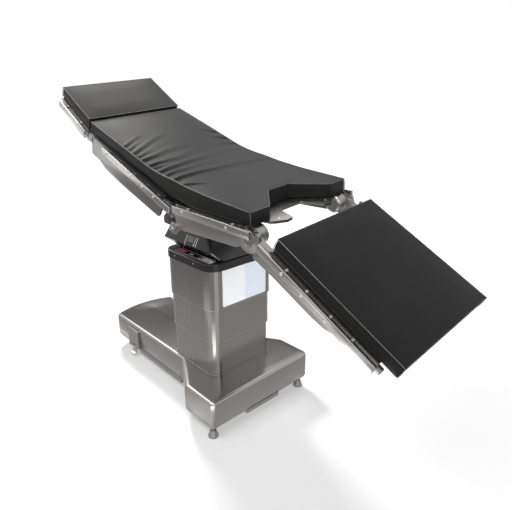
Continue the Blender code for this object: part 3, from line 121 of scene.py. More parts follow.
def seen_directly(tree):
    """One where the ray comes from the camera or from a mirror or glass surface."""
    path = add_node(tree, "ShaderNodeLightPath")
    first = add_node(tree, "ShaderNodeMath", {
        0: path.outputs["Is Camera Ray"], 1: path.outputs["Is Glossy Ray"]}, operation="MAXIMUM")
    second = add_node(tree, "ShaderNodeMath", {
        0: first.outputs[0], 1: path.outputs["Is Transmission Ray"]}, operation="MAXIMUM")
    return second.outputs[0]


FLOOR_HALF = 14.0
FLOOR_Z = -0.0004
FLOOR_ALBEDO = 0.72
FLOOR_GLOW = 0.31
FLOOR_FAR_GLOW = 1.0
FLOOR_NEAR = 2.2
FLOOR_FAR = 6.0
WHITE = (1.0, 1.0, 1.0, 1.0)
floor_mesh = bpy.data.meshes.new("paper_floor")
floor_mesh.from_pydata(
    [(x * FLOOR_HALF, y * FLOOR_HALF, FLOOR_Z) for x, y in ((-1, -1), (1, -1), (1, 1), (-1, 1))],
    [], [(0, 1, 2, 3)])
floor = add_object("paper_floor", floor_mesh)
paper, tree, shader = new_material("floor_paper")
where = add_node(tree, "ShaderNodeTexCoord")
distance = add_node(tree, "ShaderNodeVectorMath", {0: where.outputs["Object"]}, operation="LENGTH")
fade = add_node(tree, "ShaderNodeMapRange", {
    "Value": distance.outputs["Value"], "From Min": FLOOR_NEAR, "From Max": FLOOR_FAR,
    "To Min": FLOOR_GLOW, "To Max": FLOOR_FAR_GLOW})
glow = add_node(tree, "ShaderNodeMath", {
    0: seen_directly(tree), 1: fade.outputs["Result"]}, operation="MULTIPLY")
set_sockets(tree, shader, {
    "Base Color": (FLOOR_ALBEDO, FLOOR_ALBEDO, FLOOR_ALBEDO, 1.0), "Roughness": 1.0,
    "Specular IOR Level": 0.0, "Emission Color": WHITE, "Emission Strength": glow.outputs[0]})
floor_mesh.materials.append(paper)

SURROUND_FILL = 0.36
world = bpy.data.worlds.new("surround")
bpy.context.scene.world = world
world.use_nodes = True
tree = world.node_tree
tree.nodes.clear()
white = add_node(tree, "ShaderNodeBackground", {"Color": WHITE, "Strength": 1.0})
fill = add_node(tree, "ShaderNodeBackground", {"Strength": SURROUND_FILL})
chosen = add_node(tree, "ShaderNodeMixShader", {
    0: seen_directly(tree), 1: fill.outputs[0], 2: white.outputs[0]})
add_node(tree, "ShaderNodeOutputWorld", {"Surface": chosen.outputs[0]})


def soft_box(name, place, aim, width, height, power, mirrored=True, spread_angle=180.0):
    lamp = bpy.data.lights.new(name, "AREA")
    lamp.shape = "RECTANGLE"
    lamp.size = width
    lamp.size_y = height
    lamp.energy = power
    lamp.spread = math.radians(spread_angle)
    made = add_object(name, lamp)
    made.location = place
    made.rotation_euler = (Vector(aim) - Vector(place)).to_track_quat("-Z", "Y").to_euler()
    made.visible_glossy = mirrored


soft_box("soft_box_over_head", (-1.05, 1.7, 3.3), (-0.7, 0.1, 1.2), 1.3, 1.2, 7.0)
soft_box("soft_box_over_head_pad", (-0.78, 1.0, 3.1), (-0.86, 0.0, 1.4), 0.5, 0.5, 5.0)
soft_box("soft_box_over_controls", (0.3, -1.7, 3.1), (0.2, -0.2, 0.9), 2.2, 0.7, 40.0)
soft_box("soft_box_by_viewpoint", (2.9, -1.9, 2.0), (0.0, 0.0, 0.6), 1.6, 1.6, 24.0)
soft_box("soft_box_by_leg_end", (1.5, 0.8, 0.74), (0.06, 0.0, 0.60), 0.4, 0.4, 1.3, False, 50.0)
soft_box("soft_box_behind", (-3.0, 1.1, 2.7), (0.2, 0.0, 0.3), 0.9, 0.9, 185.0, False)


def card(name, rows, height=None):
    """A card that shows only in reflections; a row is (points, one level or one for each).

    A card that lies flat has its height apart, and points of x and y."""
    cloth, tree, shader = new_material(name + "_cloth")
    level = add_node(tree, "ShaderNodeAttribute", attribute_name="level")
    set_sockets(tree, shader, {
        "Base Color": (0.0, 0.0, 0.0, 1.0), "Roughness": 1.0, "Specular IOR Level": 0.0,
        "Emission Color": (1.0, 0.98, 0.96, 1.0), "Emission Strength": level.outputs["Fac"]})
    width = len(rows[0][0])
    points = [point if height is None else (*point, height) for row, _ in rows for point in row]
    faces = [
        (i, i + 1, i + width + 1, i + width)
        for i in range(width * (len(rows) - 1)) if (i + 1) % width]
    mesh = bpy.data.meshes.new(name)
    mesh.from_pydata(points, [], faces)
    amount = mesh.attributes.new("level", "FLOAT", "POINT")
    for i, (_, strength) in enumerate(rows):
        strengths = strength if isinstance(strength, tuple) else [strength] * width
        for j in range(width):
            amount.data[i * width + j].value = strengths[j]
    mesh.materials.append(cloth)
    sheet = add_object(name, mesh)
    sheet.visible_camera = False
    sheet.visible_diffuse = False
    sheet.visible_shadow = False


card("card_by_controls", [
    ([(-3.6, -0.19), (-0.20, -0.19), (0.0, -0.31), (0.24, -0.32)], (0.58, 0.58, 1.0, 1.1)),
    ([(-3.6, -0.60), (-0.50, -0.60), (-0.1, -0.66), (0.26, -0.70)], (0.50, 0.55, 0.9, 1.0)),
    ([(-3.6, -1.20), (-1.00, -1.20), (-0.3, -1.20), (0.40, -1.20)], 0.26),
    ([(-3.6, -3.60), (-2.20, -3.60), (-0.9, -3.60), (1.60, -3.60)], 0.18),
], 0.001)
card("card_under_leg_rail", [
    ([(-0.86, -0.98), (-0.62, -0.94), (0.06, -0.94)], (0.3, 1.1, 1.6)),
    ([(-0.86, -1.46), (-0.62, -1.46), (0.06, -1.46)], (0.3, 1.1, 1.6)),
], 0.002)
card("card_by_leg_end", [
    ([(0.20, -0.30), (0.20, 0.34), (-0.2, 0.40)], 0.60),
    ([(0.80, -0.20), (0.80, 0.90), (-0.2, 1.20)], 0.50),
    ([(3.60, 0.30), (3.60, 3.40), (-0.2, 3.60)], 0.42),
], 0.001)
card("card_by_corner", [
    ([(0.25, -0.50), (0.47, -0.30)], 5.5),
    ([(0.40, -0.72), (0.62, -0.52)], 3.0),
    ([(0.48, -0.86), (0.76, -0.64)], 0.30),
    ([(1.50, -2.60), (2.60, -1.80)], 0.25),
], 0.003)
card("card_over_controls", [([(-4.0, -1.0), (-4.0, 0.7)], 3.4), ([(-1.0, -1.0), (-1.0, 0.7)], 5.5)], 2.4)
card("card_far_by_controls", [
    ([(-3.2, -1.5, 0.5), (-1.7, -3.0, 0.5)], 0.7),
    ([(-3.2, -1.5, 1.7), (-1.7, -3.0, 1.7)], 1.0),
])
card("card_behind", [
    ([(-3.6, 0.5, 1.03), (-1.6, 2.7, 1.06), (0.9, 3.3, 1.10)], 0.10),
    ([(-3.6, 0.5, 2.10), (-1.6, 2.7, 2.10), (0.9, 3.3, 2.10)], 0.16),
])


# Base hood: pressed from sheet stainless steel with a rolled top edge and a low crease
# along its middle. Its sides are brushed along the floor, and a turned-in lip closes it
# below. It is lifted over the chassis and held from below.
def colour_mix(tree, amount, low, high):
    return add_node(tree, "ShaderNodeMix", {
        "A": (*low, 1.0), "B": (*high, 1.0), "Factor": amount}, data_type="RGBA").outputs["Result"]


def spread(tree, amount, low, high):
    """Spread a 0 to 1 value between two limits."""
    return add_node(tree, "ShaderNodeMapRange", {
        "Value": amount, "To Min": low, "To Max": high}).outputs["Result"]


EVEN = (1.0, 1.0, 1.0)


def noise_at(tree, stretch, scale, detail=3.0):
    """Noise in the piece's own coordinates, stretched along the axes."""
    where = add_node(tree, "ShaderNodeTexCoord")
    place = add_node(tree, "ShaderNodeMapping", {"Vector": where.outputs["Object"], "Scale": stretch})
    return add_node(tree, "ShaderNodeTexNoise", {
        "Vector": place.outputs["Vector"], "Scale": scale, "Detail": detail}).outputs["Fac"]


def bumps(tree, height, strength, distance):
    return add_node(tree, "ShaderNodeBump", {
        "Height": height, "Strength": strength, "Distance": distance}).outputs["Normal"]


GRAIN_SCALE = 14.0
GRAIN_DETAIL = 5.0
END_FACE_TURN = 0.75


def brushed_steel(name, dark, light, smooth, rough, grain, end_grain=None, depth=0.0004):
    """Steel ground with a belt: long fine scratches and slow clouds in the sheen.

    end_grain is the belt's direction on the faces that look along the table."""
    made, tree, shader = new_material(name)
    scratches = noise_at(tree, grain, GRAIN_SCALE, GRAIN_DETAIL)
    if end_grain:
        faces = add_node(tree, "ShaderNodeNewGeometry")
        parts = add_node(tree, "ShaderNodeSeparateXYZ", {0: faces.outputs["True Normal"]})
        size = add_node(tree, "ShaderNodeMath", {0: parts.outputs["X"]}, operation="ABSOLUTE")
        chosen = add_node(tree, "ShaderNodeMath", {
            0: size.outputs[0], 1: END_FACE_TURN}, operation="GREATER_THAN")
        scratches = add_node(tree, "ShaderNodeMix", {
            "Factor": chosen.outputs[0], "A": scratches,
            "B": noise_at(tree, end_grain, GRAIN_SCALE, GRAIN_DETAIL)}).outputs["Result"]
    clouds = noise_at(tree, EVEN, 4.0, 2.0)
    blend = add_node(tree, "ShaderNodeMath", {
        0: scratches, 1: 0.38, 2: spread(tree, clouds, 0.05, 0.60)}, operation="MULTIPLY_ADD")
    set_sockets(tree, shader, {
        "Metallic": 1.0, "Base Color": colour_mix(tree, blend.outputs[0], dark, light),
        "Roughness": spread(tree, scratches, rough, smooth),
        "Normal": bumps(tree, scratches, 0.10, depth)})
    return made


def dress(node, material):
    """Give a CAD node its finish."""
    piece = frame["nodes"][node]
    if not piece.material_slots:
        piece.data.materials.append(material)
    for held in piece.material_slots:
        held.material = material


def rounded(points, radii, steps):
    """An outline with its corners turned into arcs."""
    result = []
    for i, here in enumerate(points):
        here = Vector(here)
        to_last = (Vector(points[i - 1]) - here).normalized()
        to_next = (Vector(points[(i + 1) % len(points)]) - here).normalized()
        if radii[i] <= 0.0:
            result.append(here)
            continue
        half = to_last.angle(to_next) / 2.0
        reach = radii[i] / math.tan(half)
        centre = here + (to_last + to_next).normalized() * (radii[i] / math.sin(half))
        start = here + to_last * reach - centre
        sweep = start.angle_signed(here + to_next * reach - centre)
        for k in range(steps + 1):
            result.append(centre + Matrix.Rotation(-sweep * k / steps, 2) @ start)
    return result


def finish_piece(name, shape, material, body, replaced=None, smooth=math.radians(40)):
    """Turn a shape into a named piece that rides on a body of the frame."""
    bmesh.ops.recalc_face_normals(shape, faces=shape.faces[:])
    mesh = bpy.data.meshes.new(name)
    shape.to_mesh(mesh)
    shape.free()
    mesh.materials.append(material)
    mesh.shade_smooth()
    mesh.set_sharp_from_angle(angle=smooth)
    made = add_object(name, mesh)
    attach(made, body)
    if replaced:
        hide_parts(replaced)


def join_rings(shape, ring, following):
    for i in range(len(ring)):
        j = (i + 1) % len(ring)
        shape.faces.new((ring[i], ring[j], following[j], following[i]))


def loft(shape, rows, cap_first=True, cap_last=True):
    """Skin between closed rows of points, the first and the last closed by a face."""
    made = [[shape.verts.new(p) for p in row] for row in rows]
    for ring, following in zip(made, made[1:]):
        join_rings(shape, ring, following)
    if cap_first:
        shape.faces.new(list(reversed(made[0])))
    if cap_last:
        shape.faces.new(made[-1])
    return made


COLUMN_AXIS = Vector((-0.1125, 0.0158, 0.0))
HOOD_HEAD_X = -0.742
HOOD_FOOT_X = 0.302
HOOD_NARROW_HALF = 0.186
HOOD_WIDE_HALF = 0.304
HOOD_WIDE_START_X = 0.113
HOOD_DIAGONAL_X = -0.079
HOOD_BULGE = 0.040
HOOD_CORNER = 0.029
HOOD_LEAST_CORNER = 0.008
HOOD_TOP_Z = 0.1915
HOOD_BOTTOM_Z = 0.070
HOOD_ROLL = 0.0165
HOOD_ROLL_STEPS = 8
HOOD_LIP_INSET = 0.006
HOOD_LIP_BOTTOM_Z = 0.060
CREASE_START = 0.10
CREASE_END = 0.30
CREASE_RISE = 0.0068
CREASE_BEAD = 0.0010
CREASE_BEAD_WIDTH = 0.011
TOP_CELL = 0.022
HOOD_BORE = 0.0626
HOOD_BORE_SIDES = 48


def disc_outline(x, y, radius, steps=36):
    turns = [math.tau * k / steps for k in range(steps)]
    return [Vector((x + radius * math.cos(turn), y + radius * math.sin(turn))) for turn in turns]


bore = disc_outline(COLUMN_AXIS.x, COLUMN_AXIS.y, HOOD_BORE, HOOD_BORE_SIDES)


def hood_outline(inset):
    narrow = HOOD_NARROW_HALF - inset
    wide = HOOD_WIDE_HALF - inset
    head = HOOD_HEAD_X + inset
    foot = HOOD_FOOT_X - inset
    near = [
        (head, -narrow), (HOOD_DIAGONAL_X + inset, -narrow),
        (HOOD_WIDE_START_X + inset, -wide), (foot, -wide)]
    far = [(x, -y) for x, y in reversed(near)]
    end = [(head - HOOD_BULGE * (1.0 - (k / 6.0) ** 2), -narrow * k / 6.0) for k in range(-5, 6)]
    corner = max(HOOD_CORNER - inset, HOOD_LEAST_CORNER)
    flat = rounded(near + far + end, [corner] * 8 + [0.0] * len(end), 8)
    return [COLUMN_AXIS.xy + p for p in flat]


def raised(outline, z):
    return [Vector((p.x, p.y, z)) for p in outline]


def crease_height(x, y):
    """The hood's top rises to a crease along its middle, which dies out towards the head end."""
    along = min(max((x - COLUMN_AXIS.x - HOOD_HEAD_X) / CREASE_START, 0.0), 1.0)
    reach = HOOD_NARROW_HALF - HOOD_ROLL
    share = max(0.0, 1.0 - abs(y - COLUMN_AXIS.y) / reach)
    fade = 1.0 if x < COLUMN_AXIS.x else max(0.0, 1.0 - (x - COLUMN_AXIS.x) / CREASE_END)
    bead = math.exp(-((y - COLUMN_AXIS.y) / CREASE_BEAD_WIDTH) ** 2)
    return along * fade * (CREASE_RISE * share + CREASE_BEAD * bead)


shape = bmesh.new()
rows = []
for inset, height in (
        (HOOD_LIP_INSET + 0.003, HOOD_LIP_BOTTOM_Z), (HOOD_LIP_INSET, HOOD_LIP_BOTTOM_Z),
        (HOOD_LIP_INSET, HOOD_BOTTOM_Z + 0.001), (0.0006, HOOD_BOTTOM_Z), (0.0, HOOD_BOTTOM_Z + 0.0008)):
    rows.append(raised(hood_outline(inset), height))
for k in range(HOOD_ROLL_STEPS + 1):
    angle = math.pi / 2.0 * k / HOOD_ROLL_STEPS
    inset = HOOD_ROLL * (1.0 - math.cos(angle))
    height = HOOD_TOP_Z - HOOD_ROLL * (1.0 - math.sin(angle))
    rows.append(raised(hood_outline(inset), height))
skin = loft(shape, rows[:-1], False, False)
rim = skin[-1]
brim = hood_outline(HOOD_ROLL)
inside = []
grid_x = COLUMN_AXIS.x + HOOD_HEAD_X - HOOD_BULGE
while grid_x < COLUMN_AXIS.x + HOOD_FOOT_X:
    for step in range(-13, 14):
        inside.append(Vector((grid_x, COLUMN_AXIS.y + step * TOP_CELL)))
    grid_x += TOP_CELL
smaller = hood_outline(HOOD_ROLL + TOP_CELL * 0.6)


def is_inside(point, outline):
    crossings = 0
    for a, b in zip(outline, outline[1:] + outline[:1]):
        if (a.y > point.y) != (b.y > point.y):
            if point.x < a.x + (b.x - a.x) * (point.y - a.y) / (b.y - a.y):
                crossings += 1
    return crossings % 2 == 1


def around_bore(outline, more):
    """Flat triangles between an outline and the opening that the lift passes through."""
    count = len(outline)
    edges = [(i, (i + 1) % count) for i in range(count)]
    edges += [(count + i, count + (i + 1) % HOOD_BORE_SIDES) for i in range(HOOD_BORE_SIDES)]
    spots, _, faces, _, _, _ = delaunay_2d_cdt(outline + bore + more, edges, [], 1, 1e-6)
    middles = [sum((spots[i] for i in face), Vector((0.0, 0.0))) / len(face) for face in faces]
    return spots, [
        face for face, middle in zip(faces, middles)
        if (middle - COLUMN_AXIS.xy).length > HOOD_BORE * 0.997]


inside = [
    p for p in inside
    if is_inside(p, smaller) and (p - COLUMN_AXIS.xy).length > HOOD_BORE + TOP_CELL * 0.4]
spots, top_faces = around_bore(brim, inside)
top_verts = [shape.verts.new((p.x, p.y, HOOD_TOP_Z + crease_height(p.x, p.y))) for p in spots]
for face in top_faces:
    shape.faces.new([top_verts[i] for i in face])
join_rings(shape, rim, top_verts)
bore_top = top_verts[len(brim):len(brim) + HOOD_BORE_SIDES]
bore_foot = [shape.verts.new(p) for p in raised(bore, HOOD_LIP_BOTTOM_Z)]
_, foot_faces = around_bore([p.xy for p in rows[0]], [])
foot_verts = skin[0] + bore_foot
for face in foot_faces:
    shape.faces.new([foot_verts[i] for i in face])
join_rings(shape, bore_top, bore_foot)
hood_steel = brushed_steel(
    "hood_steel", (0.28, 0.27, 0.26), (0.42, 0.405, 0.395), 0.17, 0.26,
    (1.0, 60.0, 60.0), (60.0, 1.0, 60.0))
finish_piece("base_hood", shape, hood_steel, "base", "base_shell")


# Weld seams of the hood: two upright ones where the narrow part begins, left by joining the
# pressed halves of its sides. They are ground nearly flush, each a low bead of weld metal.
def start_tree(name, numbers):
    """A node tree whose inputs are a mesh of places and some named numbers."""
    tree = bpy.data.node_groups.new(name, "GeometryNodeTree")
    tree.interface.new_socket("Places", in_out="INPUT", socket_type="NodeSocketGeometry")
    for label in numbers:
        tree.interface.new_socket(label, in_out="INPUT", socket_type="NodeSocketFloat")
    tree.interface.new_socket("Pieces", in_out="OUTPUT", socket_type="NodeSocketGeometry")
    return tree, add_node(tree, "NodeGroupInput").outputs


def end_tree(tree, pieces, material):
    real = add_node(tree, "GeometryNodeRealizeInstances", {0: pieces})
    coat = add_node(tree, "GeometryNodeSetMaterial", {"Geometry": real.outputs[0], "Material": material})
    add_node(tree, "NodeGroupOutput", {"Pieces": coat.outputs[0]})
    return tree


def bead_tree(name, material):
    """A round bead laid along the edges of a mesh."""
    tree, given = start_tree(name, ["Bead radius"])
    run = add_node(tree, "GeometryNodeMeshToCurve", {"Mesh": given["Places"]})
    section = add_node(tree, "GeometryNodeCurvePrimitiveCircle", {
        "Resolution": 8, "Radius": given["Bead radius"]})
    skin = add_node(tree, "GeometryNodeCurveToMesh", {
        "Curve": run.outputs["Curve"], "Profile Curve": section.outputs["Curve"], "Fill Caps": True})
    return end_tree(tree, skin.outputs["Mesh"], material)


def settle(piece):
    """Turn what a piece's modifiers give into its plain mesh."""
    plain = bpy.data.meshes.new_from_object(piece.evaluated_get(bpy.context.evaluated_depsgraph_get()))
    before = piece.data
    piece.modifiers.clear()
    piece.data = plain
    bpy.data.meshes.remove(before)


def grown(name, mesh, tree, values, body):
    """Let a node tree grow a piece from a mesh, then keep the result as a plain mesh."""
    made = add_object(name, mesh)
    step = made.modifiers.new("grow", "NODES")
    step.node_group = tree
    for item in tree.interface.items_tree:
        if item.item_type == "SOCKET" and item.name in values:
            step[item.identifier] = values[item.name]
    settle(made)
    made.data.name = name
    made.data.shade_smooth()
    made.data.set_sharp_from_angle(angle=math.radians(40))
    if body:
        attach(made, body)
    return made


def lay_beads(name, runs, tree, radius, body):
    """Lay beads along runs of points; a run is (points, closed)."""
    mesh = bpy.data.meshes.new(name + "_path")
    points = []
    edges = []
    for run, closed in runs:
        first = len(points)
        points += run
        edges += [(first + i, first + i + 1) for i in range(len(run) - 1)]
        if closed:
            edges.append((first + len(run) - 1, first))
    mesh.from_pydata(points, edges, [])
    return grown(name, mesh, tree, {"Bead radius": radius}, body)


# Seam and edge beads: real seams and rolled edges, their steel paler than the sheets as a painted highlight along
# them.
seam_highlight_steel = brushed_steel(
    "seam_highlight_steel", (0.36, 0.345, 0.33), (0.46, 0.44, 0.42), 0.26, 0.34, (30.0, 30.0, 30.0))
seam_bead = bead_tree("seam_bead", seam_highlight_steel)
SEAM_X = -0.100
runs = []
for side in (-1.0, 1.0):
    y = COLUMN_AXIS.y + side * (HOOD_NARROW_HALF - 0.0002)
    runs.append(([Vector((COLUMN_AXIS.x + SEAM_X, y, z)) for z in (0.071, 0.12, 0.171)], False))
lay_beads("hood_seams", runs, seam_bead, 0.0005, "base")


# Chassis: welded from sheet steel, it carries the castors and the floor-lock feet.
# The feet are turned steel cones on steel stems; the castors have zinc plated forks.
def painted(name, colour, roughness, speckle=0.15):
    """Even paint or moulded plastic with a faint orange peel."""
    made, tree, shader = new_material(name)
    patches = noise_at(tree, EVEN, 30.0)
    darker = tuple(c * (1.0 - speckle) for c in colour)
    set_sockets(tree, shader, {
        "Base Color": colour_mix(tree, patches, darker, colour),
        "Roughness": spread(tree, patches, roughness - 0.05, roughness + 0.07),
        "Normal": bumps(tree, noise_at(tree, EVEN, 900.0, 1.0), 0.08, 0.0003)})
    return made


skirt_steel = brushed_steel(
    "skirt_steel", (0.29, 0.28, 0.27), (0.42, 0.41, 0.40), 0.30, 0.42, (1.0, 60.0, 60.0), (60.0, 1.0, 60.0))
dress("base_chassis", skirt_steel)
foot_steel = brushed_steel(
    "foot_steel", (0.20, 0.195, 0.19), (0.34, 0.33, 0.32), 0.24, 0.36, (2.0, 2.0, 60.0))
castor_zinc = brushed_steel(
    "castor_zinc", (0.45, 0.45, 0.46), (0.6, 0.6, 0.61), 0.3, 0.42, (8.0, 8.0, 8.0))
castor_tread = painted("castor_tread", (0.06, 0.06, 0.06), 0.65)
for corner in ("leg_near", "leg_far", "head_near", "head_far"):
    dress("floor_foot_" + corner, foot_steel)
    dress("castor_%s_fork" % corner, castor_zinc)
    dress("castor_%s_wheel" % corner, castor_tread)


# Latch plate and release lever: sheet steel pieces on the near side of the hood. The plate
# has a turned edge, laid round it as a bead, and two flush rivets.
latch_steel = brushed_steel(
    "latch_steel", (0.30, 0.285, 0.27), (0.45, 0.43, 0.41), 0.22, 0.34, (1.0, 60.0, 60.0))
dress("latch_plate", latch_steel)
dress("release_lever", brushed_steel(
    "lever_steel", (0.45, 0.44, 0.43), (0.60, 0.59, 0.57), 0.18, 0.28, (40.0, 8.0, 8.0)))
low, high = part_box("latch_plate")
LATCH_FOOT = 0.004


def rounded_box(x_low, y_low, x_high, y_high, radius, steps):
    corners = [(x_low, y_low), (x_high, y_low), (x_high, y_high), (x_low, y_high)]
    return rounded(corners, [radius] * 4, steps)


corners = rounded_box(low[0] + 0.001, low[2] + 0.001, high[0] - 0.001, high[2] - 0.001, 0.006, 5)
edge = [Vector((p.x, low[1] + 0.0004, p.y)) for p in corners if p.y > low[2] + 0.030]
foot_first, foot_last = (Vector((edge[k].x, edge[k].y, low[2] + LATCH_FOOT)) for k in (0, -1))
edge = [foot_first] + edge + [foot_last]
# The latch plate's edge bead is in the paler seam steel, a painted highlight.
lay_beads("latch_edge", [(edge, False)], seam_bead, 0.0012, "base")


def fastener_tree(name, material):
    """Round heads with a turned edge and a socket, one on each point, facing its own way."""
    tree, given = start_tree(name, ["Head radius", "Head height", "Edge", "Socket share", "Socket depth"])
    blank = add_node(tree, "GeometryNodeMeshCylinder", {
        "Vertices": 20, "Radius": given["Head radius"], "Depth": given["Head height"]})
    mesh = blank.outputs["Mesh"]
    top = blank.outputs["Top"]
    for offset, share in (
            (given["Edge"], 0.80), (0.00002, given["Socket share"]), (given["Socket depth"], 0.92)):
        push = add_node(tree, "GeometryNodeExtrudeMesh", {
            "Mesh": mesh, "Selection": top, "Individual": False, "Offset Scale": offset})
        top = push.outputs["Top"]
        mesh = add_node(tree, "GeometryNodeScaleElements", {
            "Geometry": push.outputs["Mesh"], "Selection": top, "Scale": share}).outputs["Geometry"]
    facing = add_node(tree, "GeometryNodeInputNamedAttribute", {"Name": "facing"}, data_type="FLOAT_VECTOR")
    turn = add_node(tree, "FunctionNodeAlignRotationToVector", {
        "Vector": facing.outputs["Attribute"]}, axis="Z")
    heads = add_node(tree, "GeometryNodeInstanceOnPoints", {
        "Points": given["Places"], "Instance": mesh, "Rotation": turn.outputs["Rotation"]})
    return end_tree(tree, heads.outputs["Instances"], material)


def fit_fasteners(name, tree, spots, radius, height, body, socket=0.45):
    """spots are (place, direction that the head faces)."""
    mesh = bpy.data.meshes.new(name + "_places")
    mesh.from_pydata([place for place, _ in spots], [], [])
    facing = mesh.attributes.new("facing", "FLOAT_VECTOR", "POINT")
    for item, (_, direction) in zip(facing.data, spots):
        item.vector = direction
    return grown(name, mesh, tree, {
        "Head radius": radius, "Head height": height, "Edge": height * 0.25,
        "Socket share": socket, "Socket depth": -height * 0.5}, body)


screw_zinc = brushed_steel(
    "screw_zinc", (0.62, 0.62, 0.62), (0.78, 0.78, 0.78), 0.16, 0.26, (20.0, 20.0, 20.0))
screw_heads = fastener_tree("screw_heads", screw_zinc)
NEARWARDS = Vector((0.0, -1.0, 0.0))
fit_fasteners("latch_rivets", screw_heads, [
    (Vector((x, low[1], z)), NEARWARDS)
    for x in (low[0] + 0.012, high[0] - 0.012) for z in (high[2] - 0.012,)],
    0.0030, 0.0016, "base")


# Shrouds: three nested sleeves of sheet steel, brushed upright on the long sides. A butt
# seam runs down each long side, and each lower edge is rolled round a wire.
shroud_steel = brushed_steel(
    "shroud_steel", (0.28, 0.27, 0.26), (0.41, 0.395, 0.385), 0.18, 0.27,
    (60.0, 60.0, 1.0), (60.0, 1.2, 60.0))
SLEEVES = (
    ("lower_shroud", 0.163, 0.175, 0.045), ("middle_shroud", 0.1692, 0.1812, 0.0512),
    ("top_shroud", 0.1754, 0.1874, 0.0574),
)
SEAM_SUNK = 0.0004
SEAM_OFFSET_X = -0.004
EDGE_UP = 0.0012
FLARE_UP = 0.0045
FLARE_X = 1.022
FLARE_Y = 1.020
body_of = {
    node: body for body, nodes in frame["record"]["behaviour"]["bodies"].items() for node in nodes}
for sleeve, half_x, half_y, corner in SLEEVES:
    dress(sleeve, shroud_steel)
    low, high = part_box(sleeve)
    seam_x = half_x - SEAM_SUNK
    seam_y = half_y - SEAM_SUNK
    flat = rounded_box(-seam_x, -seam_y, seam_x, seam_y, corner, 10)
    foot_z = low[2] + EDGE_UP
    ring = [COLUMN_AXIS + Vector((p.x, p.y, foot_z)) for p in flat]
    if sleeve == "lower_shroud":
        ring = [COLUMN_AXIS + Vector((p.x * FLARE_X, p.y * FLARE_Y, low[2] + FLARE_UP)) for p in flat]
    seams = [(ring, True)]
    for side in (-1.0, 1.0):
        spot = COLUMN_AXIS + Vector((SEAM_OFFSET_X, side * seam_y, 0.0))
        seams.append(([Vector((spot.x, spot.y, z)) for z in (foot_z + 0.004, high[2] - 0.002)], False))
    # Seams and rolled foot edges in the paler seam steel, a painted highlight along them.
    lay_beads(sleeve + "_seams", seams, seam_bead, 0.0006, body_of[sleeve])
dress("lift_cylinder", painted("cylinder_paint", (0.25, 0.25, 0.25), 0.4))
dress("lift_ram", brushed_steel(
    "ram_chrome", (0.55, 0.55, 0.56), (0.62, 0.62, 0.63), 0.12, 0.2, (30.0, 30.0, 1.0)))


# Data plate on the foot side of the top shroud: a thin white enamelled sheet, bare, with a
# pale blue field, glued on with rounded corners.
PLATE_LOW_Z = 0.530
PLATE_HIGH_Z = 0.7000
PLATE_HALF_Y = 0.128
PLATE_PROUD = 0.0009
enamel, tree, shader = new_material("white_enamel")
where = add_node(tree, "ShaderNodeTexCoord")
parts = add_node(tree, "ShaderNodeSeparateXYZ", {0: where.outputs["Object"]})
field = add_node(tree, "ShaderNodeMapRange", {
    "Value": parts.outputs["Y"], "From Min": COLUMN_AXIS.y - 0.004, "From Max": COLUMN_AXIS.y + 0.004})
set_sockets(tree, shader, {
    "Base Color": colour_mix(tree, field.outputs["Result"], (0.88, 0.90, 0.93), (0.74, 0.80, 0.90)),
    "Roughness": spread(tree, noise_at(tree, EVEN, 40.0), 0.24, 0.34)})
flat = rounded_box(-PLATE_HALF_Y, PLATE_LOW_Z, PLATE_HALF_Y, PLATE_HIGH_Z, 0.006, 6)
shape = bmesh.new()
face_x = COLUMN_AXIS.x + SLEEVES[2][1]
rows = []
for inset, x in ((0.0, face_x - 0.0002), (0.0, face_x + PLATE_PROUD * 0.6), (0.0004, face_x + PLATE_PROUD)):
    shrink = 1.0 - inset / PLATE_HALF_Y
    rows.append([Vector((x, COLUMN_AXIS.y + p.x * shrink, p.y)) for p in flat])
loft(shape, rows)
finish_piece("data_plate", shape, enamel, body_of["top_shroud"])


# Cap and keypad: black moulded plastic, a film panel with four raised keys, and a small
# bright lamp beside it. The film has a red field at its head end and a pale rim.
cap_plastic = painted("cap_plastic", (0.012, 0.012, 0.013), 0.24)
dress("column_cap", cap_plastic)
dress("keypad_panel", painted("panel_film", (0.020, 0.022, 0.032), 0.22))
key_red = painted("key_red", (0.62, 0.12, 0.12), 0.4)
key_pale = painted("key_pale", (0.90, 0.90, 0.92), 0.4)
dress("key_1", key_red)
for number in (2, 3, 4):
    dress("key_%d" % number, key_pale)
dress("indicator_lamp", brushed_steel(
    "lamp_steel", (0.6, 0.6, 0.6), (0.7, 0.7, 0.7), 0.15, 0.25, (9.0, 9.0, 9.0)))
low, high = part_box("keypad_panel")
key_low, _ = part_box("key_1")
_, key_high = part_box("key_4")
FILM_PROUD = 0.0003


def film_field(name, x_low, x_high, y_low, y_high, material, proud):
    """A printed field on the film: a very thin layer with rounded corners."""
    outline = rounded_box(x_low, y_low, x_high, y_high, 0.0035, 4)
    shape = bmesh.new()
    loft(shape, [raised(outline, high[2] + z) for z in (-0.0002, proud)])
    finish_piece(name, shape, material, body_of["keypad_panel"])


